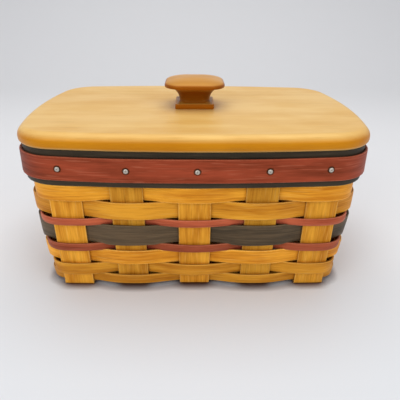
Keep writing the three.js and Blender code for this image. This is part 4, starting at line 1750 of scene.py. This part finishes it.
@dataclass
class Rim:
    """Three bands round the top of the uprights, and a tack through them at each upright."""

    green_thickness: float = 2.2 * MM
    red_thickness: float = 1.5 * MM
    inner_thickness: float = 1.6 * MM
    green_round: float = 0.5 * MM
    red_round: float = 0.55 * MM
    inner_round: float = 0.4 * MM
    scarf_length: float = 34 * MM
    scarf_tip: float = 0.4 * MM
    step: float = 2 * MM
    height_wobble: float = 0.08 * MM
    lean_wobble: float = math.radians(0.5)
    waves: tuple[int, ...] = (3, 5, 8)
    tack_radius: float = 1.45 * MM
    tack_height: float = 0.9 * MM
    tack_shank: float = 0.6 * MM
    tack_point: float = 1.4 * MM
    tack_tip: float = 0.15 * MM
    tack_sides: int = 32

    @property
    def inner_inside(self) -> float:
        """Distance of the inner band's inner face from the middle of the uprights, below zero."""
        return -WALL.face - self.inner_thickness

    @property
    def red_inside(self) -> float:
        """Distance of the red band's inner face from the middle of the uprights."""
        return WALL.face + self.green_thickness + WALL.layer_gap

    @property
    def red_outside(self) -> float:
        """Distance of the red band's outer face from the middle of the uprights."""
        return self.red_inside + self.red_thickness

    def build(self) -> None:
        """Builds the bands and the tacks."""
        back = WALL.back_middle
        green, red = self.green_thickness, self.red_thickness
        bands = (
            ("inner", Finish.NATURAL, self.inner_inside, self.inner_thickness, back, self.inner_round),
            ("green", Finish.DARK_GREEN, WALL.face, green, back - 1, self.green_round),
            ("red", Finish.RED_BAND, self.red_inside, red, back + 1, self.red_round),
        )
        for number, (colour, finish, inside, thickness, upright, rounding) in enumerate(bands):
            node = f"rim_band_{colour}"
            low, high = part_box(node)
            guide = self._guide(inside, thickness, (low.z + high.z) / 2, upright, number)
            section = Section(high.z - low.z, thickness, rounding)
            piece = Strip(f"band_{colour}", section, guide, finish, Seed.BAND + number).build()
            place_piece(piece, "basket", finish, [node])
        self._tacks()

    def _guide(self, inside: float, thickness: float, z: float, upright: int, number: int) -> Guide:
        """Lays a band's guide, thinned at both ends into a scarf.

        Args:
            inside: Distance of the band's inner face from the middle of the uprights.
            thickness: The band's thickness.
            z: Height of its middle.
            upright: The number of the upright that its scarf lies over.
            number: The band's own number, for its seeds.

        Returns:
            The guide.
        """
        slope = (thickness - self.scarf_tip) / self.scarf_length
        last_run = (thickness - 2 * self.scarf_tip - WALL.layer_gap) / slope
        start = WALL.upright_at(upright) - last_run / 2
        step_up = start + WALL.round - WALL.layer_gap
        finish = start + WALL.round + last_run
        even = np.linspace(start, step_up, round((step_up - start) / self.step) + 1)
        scarf = np.linspace(step_up + WALL.layer_gap, finish, round(last_run / self.step) + 1)
        tacks = np.concatenate([WALL.tack_places + turn * WALL.round for turn in (-1, 0, 1, 2)])
        inner = tacks[(tacks > start + MM) & (tacks < step_up - MM)]
        position = np.unique(np.concatenate([even, scarf, inner]))
        near = np.abs(position[:, None] - tacks[None, :]).min(axis=1)
        first = np.minimum(thickness, self.scarf_tip + slope * (position - start))
        raised = self.scarf_tip + WALL.layer_gap + slope * (position - step_up - WALL.layer_gap)
        on_scarf = position > step_up
        low = np.where(on_scarf, raised, 0.0)
        high = np.where(on_scarf, thickness, first)
        offset = inside + (low + high) / 2
        level = z + Wobble(Seed.BAND + number, self.height_wobble, self.waves).at(position)
        lean = Wobble(Seed.BAND_LEAN + number, self.lean_wobble, self.waves).at(position)
        guide = wall_guide(position, level, offset, lean, thin=1 - (high - low) / thickness)
        guide.near = near * np.gradient(guide.along) / np.gradient(position)
        return guide

    def _tacks(self) -> None:
        """Stands a tack on the red band at each upright."""
        low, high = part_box("rim_band_red")
        middle = (low.z + high.z) / 2
        feet = [WALL.point(place, middle, self.red_outside) for place in WALL.tack_places]
        axes = [WALL.outward(place, middle) for place in WALL.tack_places]
        tacks = Fixings("rim_tacks", feet, axes, Seed.TACK_SPIN, FULL_TURN, Finish.NICKEL)
        nodes = [f"rim_tack_{number:02d}" for number in range(1, len(feet) + 1)]
        tacks.build(self._tack(self.red_outside - self.inner_inside), "basket", nodes)

    def _tack(self, reach: float) -> Object:
        """Makes one tack: a pointed shank and a shallow domed head with a dimple.

        Args:
            reach: How far the shank goes in.

        Returns:
            The tack, its head above z = 0.
        """
        radius = self.tack_radius
        # Shares of the head's radius and height, from its rim over the dome into the dimple
        head = (
            (0.93, 0.0222), (1.0, 0.16), (0.985, 0.36), (0.9, 0.62), (0.74, 0.84),
            (0.52, 0.97), (0.34, 1.0), (0.24, 0.95), (0.12, 0.84), (0.0, 0.8),
        )
        shank = (
            (0.0, -reach),
            (self.tack_shank / 4, self.tack_tip - reach),
            (self.tack_shank, self.tack_point - reach),
            (self.tack_shank, 0.0),
        )
        dome = ((radius * across, self.tack_height * up) for across, up in head)
        tack = turned("tack", [*shank, *dome], self.tack_sides)
        reaches = [math.hypot(v.co.x, v.co.y) / radius if v.co.z > 0 else 1.0 for v in tack.data.vertices]
        store(tack.data, "reach", np.minimum(1.0, reaches))
        return tack


@dataclass
class Lid:
    """The lid board with its knob, cleats and screws, all lifted off as one."""

    side_overhang: float = 1.4 * MM
    end_overhang: float = 1.6 * MM
    corner_growth: float = 0.5 * MM
    side_bow: float = 7.6 * MM
    end_bow: float = 10 * MM
    top_round: float = 5.5 * MM
    bottom_round: float = 2.5 * MM
    red_outside: float = Rim().red_outside
    outline_step: float = 2.2 * MM
    round_steps: int = 9
    flat_margin: float = 0.6 * MM
    cleat_round: float = 4 * MM
    cleat_ease: float = 0.5 * MM
    ease_steps: int = 3
    sharp_from: float = math.radians(40)
    # Radii of a screw's head and shank
    knob_screw: Pair = (3.8 * MM, 1.8 * MM)
    cleat_screw: Pair = (2.8 * MM, 1.4 * MM)
    screw_clearance: float = 0.25 * MM
    screw_ease: float = 0.15 * MM
    screw_sides: int = 32
    hole_top: float = 0.3 * MM
    slot_width: float = 0.8 * MM
    slot_depth: float = 0.7 * MM

    def build(self) -> None:
        """Builds the board, the knob, the cleats and the screws."""
        self._board()
        self._knob()
        self._cleats()
        self._screws("knob_screws", ["knob_screw"], self.knob_screw)
        self._screws("cleat_screws", [f"cleat_screw_{k}" for k in (1, 2, 3, 4)], self.cleat_screw)

    def _ring(self, z: float, inset: float) -> Array:
        """Returns the lid's outline at a height.

        Args:
            z: The height.
            inset: How far the outline is drawn in.

        Returns:
            Its points, in even steps.
        """
        rim = WALL.outline(WALL.rim_top)
        half_length = rim.half_length + self.red_outside + self.end_overhang
        half_depth = rim.half_depth + self.red_outside + self.side_overhang
        corner = rim.corner + self.red_outside + self.corner_growth
        outline = Outline(half_length, half_depth, corner, self.side_bow, self.end_bow)
        around = 4 * sum(outline.lengths)
        count = 4 * round(around / self.outline_step / 4)
        position = np.arange(count) * around / count
        found = outline.places(position, -inset, outline.lengths)
        return np.column_stack([found[:, :2], np.full(count, z)])

    def _board(self) -> None:
        """Lofts the board and sinks its screw hole."""
        low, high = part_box("lid_board")
        angles = quarter_angles(self.round_steps)
        edge = [(low.z, self.bottom_round + self.flat_margin)]
        for angle in angles:
            rise = self.bottom_round * (1 - math.cos(angle))
            edge.append((low.z + rise, self.bottom_round * (1 - math.sin(angle))))
        for angle in angles:
            drop = self.top_round * (1 - math.sin(angle))
            edge.append((high.z - drop, self.top_round * (1 - math.cos(angle))))
        edge.append((high.z, self.top_round + self.flat_margin))
        board = lofted("lid", np.array([self._ring(z, inset) for z, inset in edge]))
        board = cut(board, [self._recess("knob_screw", self.knob_screw)])
        mark_sides(board.data)
        place_piece(board, "lid", Finish.LID, ["lid_board"])

    def _recess(self, node: str, radii: Pair) -> Object:
        """Makes the countersink that a screw's head lies in.

        Args:
            node: The screw's CAD node.
            radii: Radii of its head and shank.

        Returns:
            The shape to cut out.
        """
        low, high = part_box(node)
        head, shank = (radius + self.screw_clearance for radius in radii)
        rim = low.z + self.slot_depth / 2
        top = rim + (head - shank)
        below = low.z - MM
        profile = [(0.0, below), (head, below), (head, rim), (shank, top), (0.0, top + self.hole_top)]
        hole = turned("hole", profile, self.screw_sides)
        middle = (low + high) / 2
        hole.data.transform(Matrix.Translation((middle.x, middle.y, 0)))
        return hole

    def _knob(self) -> None:
        """Lofts the knob: a square foot, a coved neck and a crowned cap."""
        knob = Knob(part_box("lid_knob")[0].z)
        place_piece(knob.build(), "lid", Finish.KNOB, ["lid_knob"])

    def _cleats(self) -> None:
        """Cuts the two cleats, with rounded lower ends and eased edges."""
        end_round = self.cleat_round
        for node, numbers in {"cleat_left": (1, 2), "cleat_right": (3, 4)}.items():
            low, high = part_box(node)
            side = [(low.y, high.z)]
            for y, quadrant in ((low.y + end_round, 2), (high.y - end_round, 3)):
                side += corner_arc((y, low.z + end_round), end_round, quadrant, self.round_steps)
            side.append((high.y, high.z))
            rings = np.array([[(x, y, z) for y, z in side] for x in (low.x, high.x)])
            cleat = lofted(node.replace("cleat_", "") + "_cleat", rings)
            self._ease(cleat.data)
            holes = [self._recess(f"cleat_screw_{number}", self.cleat_screw) for number in numbers]
            place_piece(cut(cleat, holes), "lid", Finish.CLEAT, [node])

    def _ease(self, mesh: Mesh) -> None:
        """Rounds every sharp edge of a cleat.

        Args:
            mesh: The cleat's closed mesh.
        """
        work = bmesh.new()
        work.from_mesh(mesh)
        sharp = [edge for edge in work.edges if edge.calc_face_angle(0.0) > self.sharp_from]
        size, steps = self.cleat_ease, self.ease_steps
        bmesh.ops.bevel(work, geom=sharp, offset=size, segments=steps, profile=0.5, affect="EDGES")
        work.to_mesh(mesh)
        work.free()

    def _screws(self, name: str, nodes: list[str], radii: Pair) -> None:
        """Stands slotted screws where the CAD screws are.

        Args:
            name: The piece's name.
            nodes: The CAD nodes of the screws.
            radii: Radii of their heads and shanks.
        """
        boxes = [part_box(node) for node in nodes]
        feet = [Vector(((low.x + high.x) / 2, (low.y + high.y) / 2, low.z)) for low, high in boxes]
        axes = [Vector((0, 0, 1))] * len(feet)
        screws = Fixings(name, feet, axes, Seed.SCREW_SPIN, math.pi, Finish.ZINC)
        screws.build(self._screw(*radii, boxes[0][1].z - boxes[0][0].z), "lid", nodes)

    def _screw(self, head: float, shank: float, length: float) -> Object:
        """Makes one countersunk screw that points up, with its slot across the head.

        Args:
            head: Radius of the head.
            shank: Radius of the shank.
            length: Length from the head's flat face to the point.

        Returns:
            The screw.
        """
        rim = self.slot_depth / 2
        profile = [
            (0.0, 0.0),
            (head - self.screw_ease, 0.0),
            (head, self.screw_ease),
            (head, rim),
            (shank, rim + head - shank),
            (shank, length - shank),
            (0.0, length),
        ]
        screw = turned("screw", profile, self.screw_sides)
        reach, half, depth = head + MM, self.slot_width / 2, self.slot_depth
        corners = [(x, y, z) for z in (-depth, depth) for y in (-half, half) for x in (-reach, reach)]
        sides = [(0, 2, 3, 1), (4, 5, 7, 6), (0, 1, 5, 4), (2, 6, 7, 3), (0, 4, 6, 2), (1, 3, 7, 5)]
        slot = mesh_object("slot", corners, sides)
        face_outward(slot.data)
        return cut(screw, [slot])


@dataclass
class Knob:
    """A square foot, a coved neck and a crowned cap, cut from one block.

    A ring of the knob is a height above its bottom, half a width and a corner radius.
    """

    bottom: float
    foot_half: float = 12.2 * MM
    foot_height: float = 3 * MM
    foot_corner: float = 1.2 * MM
    foot_ease: float = 0.35 * MM
    foot_shoulder: float = 0.9 * MM
    neck_half: float = 9.6 * MM
    neck_height: float = 4.6 * MM
    rim_half: float = 18.7 * MM
    rim_height: float = 14.4 * MM
    rim_thickness: float = 2.8 * MM
    rim_tuck: float = 0.5 * MM
    height: float = 18.4 * MM
    corner_share: float = 0.6
    crown_power: float = 1.92
    corner_steps: int = 12
    side_steps: int = 6
    flare_steps: int = 6
    cove_steps: int = 14
    edge_steps: int = 4
    crown_steps: int = 16
    sharp_degrees: float = 50

    def _ring(self, z: float, half: float, corner: float) -> list[Point]:
        """Finds the points of one ring, a square with rounded corners.

        Args:
            z: Height above the knob's bottom.
            half: Half the square's width.
            corner: Radius of its corners.

        Returns:
            The points.
        """
        reach = half - corner
        points: list[Point] = []
        for quadrant, (sign_x, sign_y) in enumerate(QUADRANTS):
            arc = corner_arc((sign_x * reach, sign_y * reach), corner, quadrant, self.corner_steps)
            points += [(x, y, self.bottom + z) for x, y in arc]
            here, ahead = points[-1], (quadrant + 1) * QUARTER_TURN
            for step in range(1, self.side_steps):
                slide = 2 * reach * step / self.side_steps
                x = here[0] - slide * math.sin(ahead)
                points.append((x, here[1] + slide * math.cos(ahead), self.bottom + z))
        return points

    def build(self) -> Object:
        """Lofts the knob and marks where shade is painted under its cap.

        Returns:
            The knob.
        """
        rings = [*self._foot(), *self._neck(), *self._cap()]
        knob = lofted("knob", np.array([self._ring(*ring) for ring in rings]))
        shade(knob.data, self.sharp_degrees)
        mark_sides(knob.data)
        points = np.array([vertex.co for vertex in knob.data.vertices])
        half = np.abs(points[:, :2]).max(axis=1)
        rise = points[:, 2] - self.bottom
        under = (rise > self.foot_height) & (rise < self.rim_height)
        # Painted shade under the cap: full at the neck, fading out towards the cap's rim
        share = np.clip((self.rim_half - half) / (self.rim_half - self.neck_half), 0, 1)
        store(knob.data, "pool", np.where(under, share, 0.0))
        return knob

    def _scaled(self, z: float, half: float) -> Point:
        """Returns a ring whose corners keep their share of its half width."""
        return z, half, half * self.corner_share

    def _foot(self) -> list[Point]:
        """Rings of the foot, with eased edges.

        Returns:
            The rings.
        """
        # Shares of the ease by which each ring lies in from the foot's ends and sides
        eases = ((0.0, 1.0), (0.3, 0.3), (1.0, 0.0))
        up = [(self.foot_ease * rise, self.foot_half - self.foot_ease * inset) for rise, inset in eases]
        down = [(self.foot_height - rise, half) for rise, half in reversed(up)]
        return [(z, half, self.foot_corner) for z, half in (*up, *down)]

    def _neck(self) -> list[Point]:
        """Rings of the cove from the foot to the underside of the cap.

        Returns:
            The rings.
        """
        rings: list[Point] = []
        flare = self.foot_half - self.foot_shoulder - self.neck_half
        rise = self.neck_height - self.foot_height
        for angle in quarter_angles(self.flare_steps)[:-1]:
            half = self.neck_half + flare * (1 - math.sin(angle))
            share = angle / QUARTER_TURN
            corner = (1 - share) * self.foot_corner + share * half * self.corner_share
            rings.append((self.foot_height + rise * (1 - math.cos(angle)), half, corner))
        cove_height = self.rim_height - self.rim_thickness / 2 - self.neck_height
        reach = self.rim_half - self.rim_tuck - self.neck_half
        for angle in quarter_angles(self.cove_steps):
            half = self.neck_half + reach * (1 - math.cos(angle))
            rings.append(self._scaled(self.neck_height + cove_height * math.sin(angle), half))
        return rings

    def _cap(self) -> list[Point]:
        """Rings of the cap's rounded edge and its crown.

        Returns:
            The rings.
        """
        rings: list[Point] = []
        for angle in quarter_angles(self.edge_steps)[1:-1]:
            half = self.rim_half - self.rim_tuck * (1 - math.sin(angle))
            rings.append(self._scaled(self.rim_height - self.rim_thickness / 2 * math.cos(angle), half))
        rise = self.height - self.rim_height
        power = 2 / self.crown_power
        for angle in quarter_angles(self.crown_steps)[:-1]:
            half = self.rim_half * math.cos(angle) ** power
            rings.append(self._scaled(self.rim_height + rise * math.sin(angle) ** power, half))
        return rings


@dataclass(frozen=True)
class Lamp:
    """A square softbox that faces the basket."""

    name: str
    place: Point
    size: float
    watts: float
    target: Point = (0.0, 0.0, 0.05)

    def hang(self) -> None:
        """Hangs the lamp."""
        light = bpy.data.lights.new(self.name, "AREA")
        light.shape = "SQUARE"
        light.size = self.size
        light.energy = self.watts
        lamp = linked(bpy.data.objects.new(self.name, light))
        aim = Vector(self.target) - Vector(self.place)
        turn = aim.to_track_quat("-Z", "Y").to_matrix().to_4x4()
        lamp.matrix_world = Matrix.Translation(self.place) @ turn


@dataclass
class Studio:
    """A pale floor that sweeps up behind the basket, soft lamps and the camera."""

    # Painted shade: the paper is darker near the camera and high up the backdrop than the far floor
    shaded_near_colour: Colour = paint(216, 219, 221)
    far_colour: Colour = paint(228, 228, 228)
    shaded_high_colour: Colour = paint(212, 212, 211)
    # Where the floor's colour changes, in metres along y, and the backdrop's, in metres of height; both
    # changes are painted shade
    near_to_far: Pair = (-0.14, 0.06)
    low_to_high: Pair = (0.0, 0.6)
    # Painted contact shadow: a warm brown shade, by ambient occlusion, close to what stands on the paper
    painted_shadow_colour: Colour = paint(82, 44, 16)
    painted_shadow_reach: float = 6.5 * MM
    painted_shadow_power: float = 2.6
    painted_shadow_samples: int = 16
    paper_tooth: float = 0.05
    paper_tooth_per_metre: float = 900.0
    paper_height: float = 0.05 * MM
    paper_roughness: float = 0.7
    floor_half: float = 1.6
    sweep_start: float = 0.55
    sweep_radius: float = 0.5
    sweep_steps: int = 16
    wall_height: float = 1.4
    tent_colour: tuple[float, float, float, float] = (0.93, 0.94, 1.0, 1.0)
    tent_strength: float = 0.55
    lamps: tuple[Lamp, ...] = (
        Lamp("overhead", (0.0, 0.05, 0.95), 0.8, 4.8),
        Lamp("front_left", (-0.55, -0.75, 0.65), 0.5, 2.8),
        Lamp("front_right", (0.6, -0.7, 0.6), 0.5, 1.9),
    )
    camera_place: Point = (-1.19 * MM, -276.18 * MM, 166.19 * MM)
    camera_turn: tuple[float, float, float] = (64.387, 0.576, -1.109)
    sensor_width: float = 36
    lens: float = 38.19
    nearest: float = 0.01

    def build(self) -> None:
        """Builds the studio."""
        self._floor()
        self._world()
        for lamp in self.lamps:
            lamp.hang()
        self._camera()

    def _floor(self) -> None:
        """Builds the floor and the curved backdrop as one sheet."""
        profile = [(-self.floor_half, 0.0), (self.sweep_start, 0.0)]
        for angle in quarter_angles(self.sweep_steps)[1:]:
            y = self.sweep_start + self.sweep_radius * math.sin(angle)
            profile.append((y, self.sweep_radius * (1 - math.cos(angle))))
        profile.append((self.sweep_start + self.sweep_radius, self.wall_height))
        points = [(x, y, z) for y, z in profile for x in (-self.floor_half, self.floor_half)]
        faces = [(2 * k, 2 * k + 1, 2 * k + 3, 2 * k + 2) for k in range(len(profile) - 1)]
        sheet = mesh_object("studio_floor", points, faces)
        sheet.data.shade_smooth()
        sheet.data.materials.append(self._paper())

    def _paper(self) -> Material:
        """Builds the pale paper, with painted shade towards the camera and up the backdrop, and a painted
        contact shadow close to what stands on it.

        Returns:
            The material.
        """
        material, sketch, shader = new_material("pale_paper")
        place = sketch.add("ShaderNodeTexCoord").outputs["Object"]
        tooth = sketch.noise(place, self.paper_tooth_per_metre)
        axes = sketch.add("ShaderNodeSeparateXYZ", {0: place}).outputs
        # Painted shade: the floor darkens towards the camera and the backdrop towards its top
        along = sketch.ramp(axes["Y"], *self.near_to_far)
        colour = sketch.mix(along, self.shaded_near_colour, self.far_colour)
        colour = sketch.mix(sketch.ramp(axes["Z"], *self.low_to_high), colour, self.shaded_high_colour)
        # Painted contact shadow: the paper is mixed towards dark brown where ambient occlusion finds
        # something close
        reach = {"Distance": self.painted_shadow_reach}
        occlusion = sketch.add("ShaderNodeAmbientOcclusion", reach, samples=self.painted_shadow_samples)
        unshadowed = sketch.math("POWER", occlusion.outputs["AO"], self.painted_shadow_power)
        colour = sketch.mix(unshadowed, self.painted_shadow_colour, colour)
        normal = sketch.bump(tooth, self.paper_tooth, self.paper_height)
        sketch.surface(shader, colour, self.paper_roughness, normal)
        return material

    def _world(self) -> None:
        """Sets an even pale surround, like the inside of a light tent."""
        world = bpy.data.worlds.new("tent")
        bpy.context.scene.world = world
        world.use_nodes = True
        background = world.node_tree.nodes["Background"]
        background.inputs["Color"].default_value = self.tent_colour
        background.inputs["Strength"].default_value = self.tent_strength

    def _camera(self) -> None:
        """Sets the camera at the photograph's viewing angle."""
        data = bpy.data.cameras.new("camera")
        data.sensor_width = self.sensor_width
        data.lens = self.lens
        data.clip_start = self.nearest
        camera = linked(bpy.data.objects.new("camera", data))
        pitch, roll, yaw = (math.radians(angle) for angle in self.camera_turn)
        aim = Matrix.Rotation(yaw, 4, "Z") @ Matrix.Rotation(pitch, 4, "X")
        turn = aim @ Matrix.Rotation(roll, 4, "Z")
        camera.matrix_world = Matrix.Translation(self.camera_place) @ turn
        bpy.context.scene.camera = camera


def main() -> None:
    """Builds the basket and its studio, one sub-assembly after another."""
    logging.basicConfig(level=logging.INFO, format="%(name)s: %(message)s")
    bpy.context.scene.view_settings.view_transform = "Standard"
    Uprights().build()
    WovenRows().build()
    Rim().build()
    Lid().build()
    Studio().build()


if __name__ == "__main__":
    main()
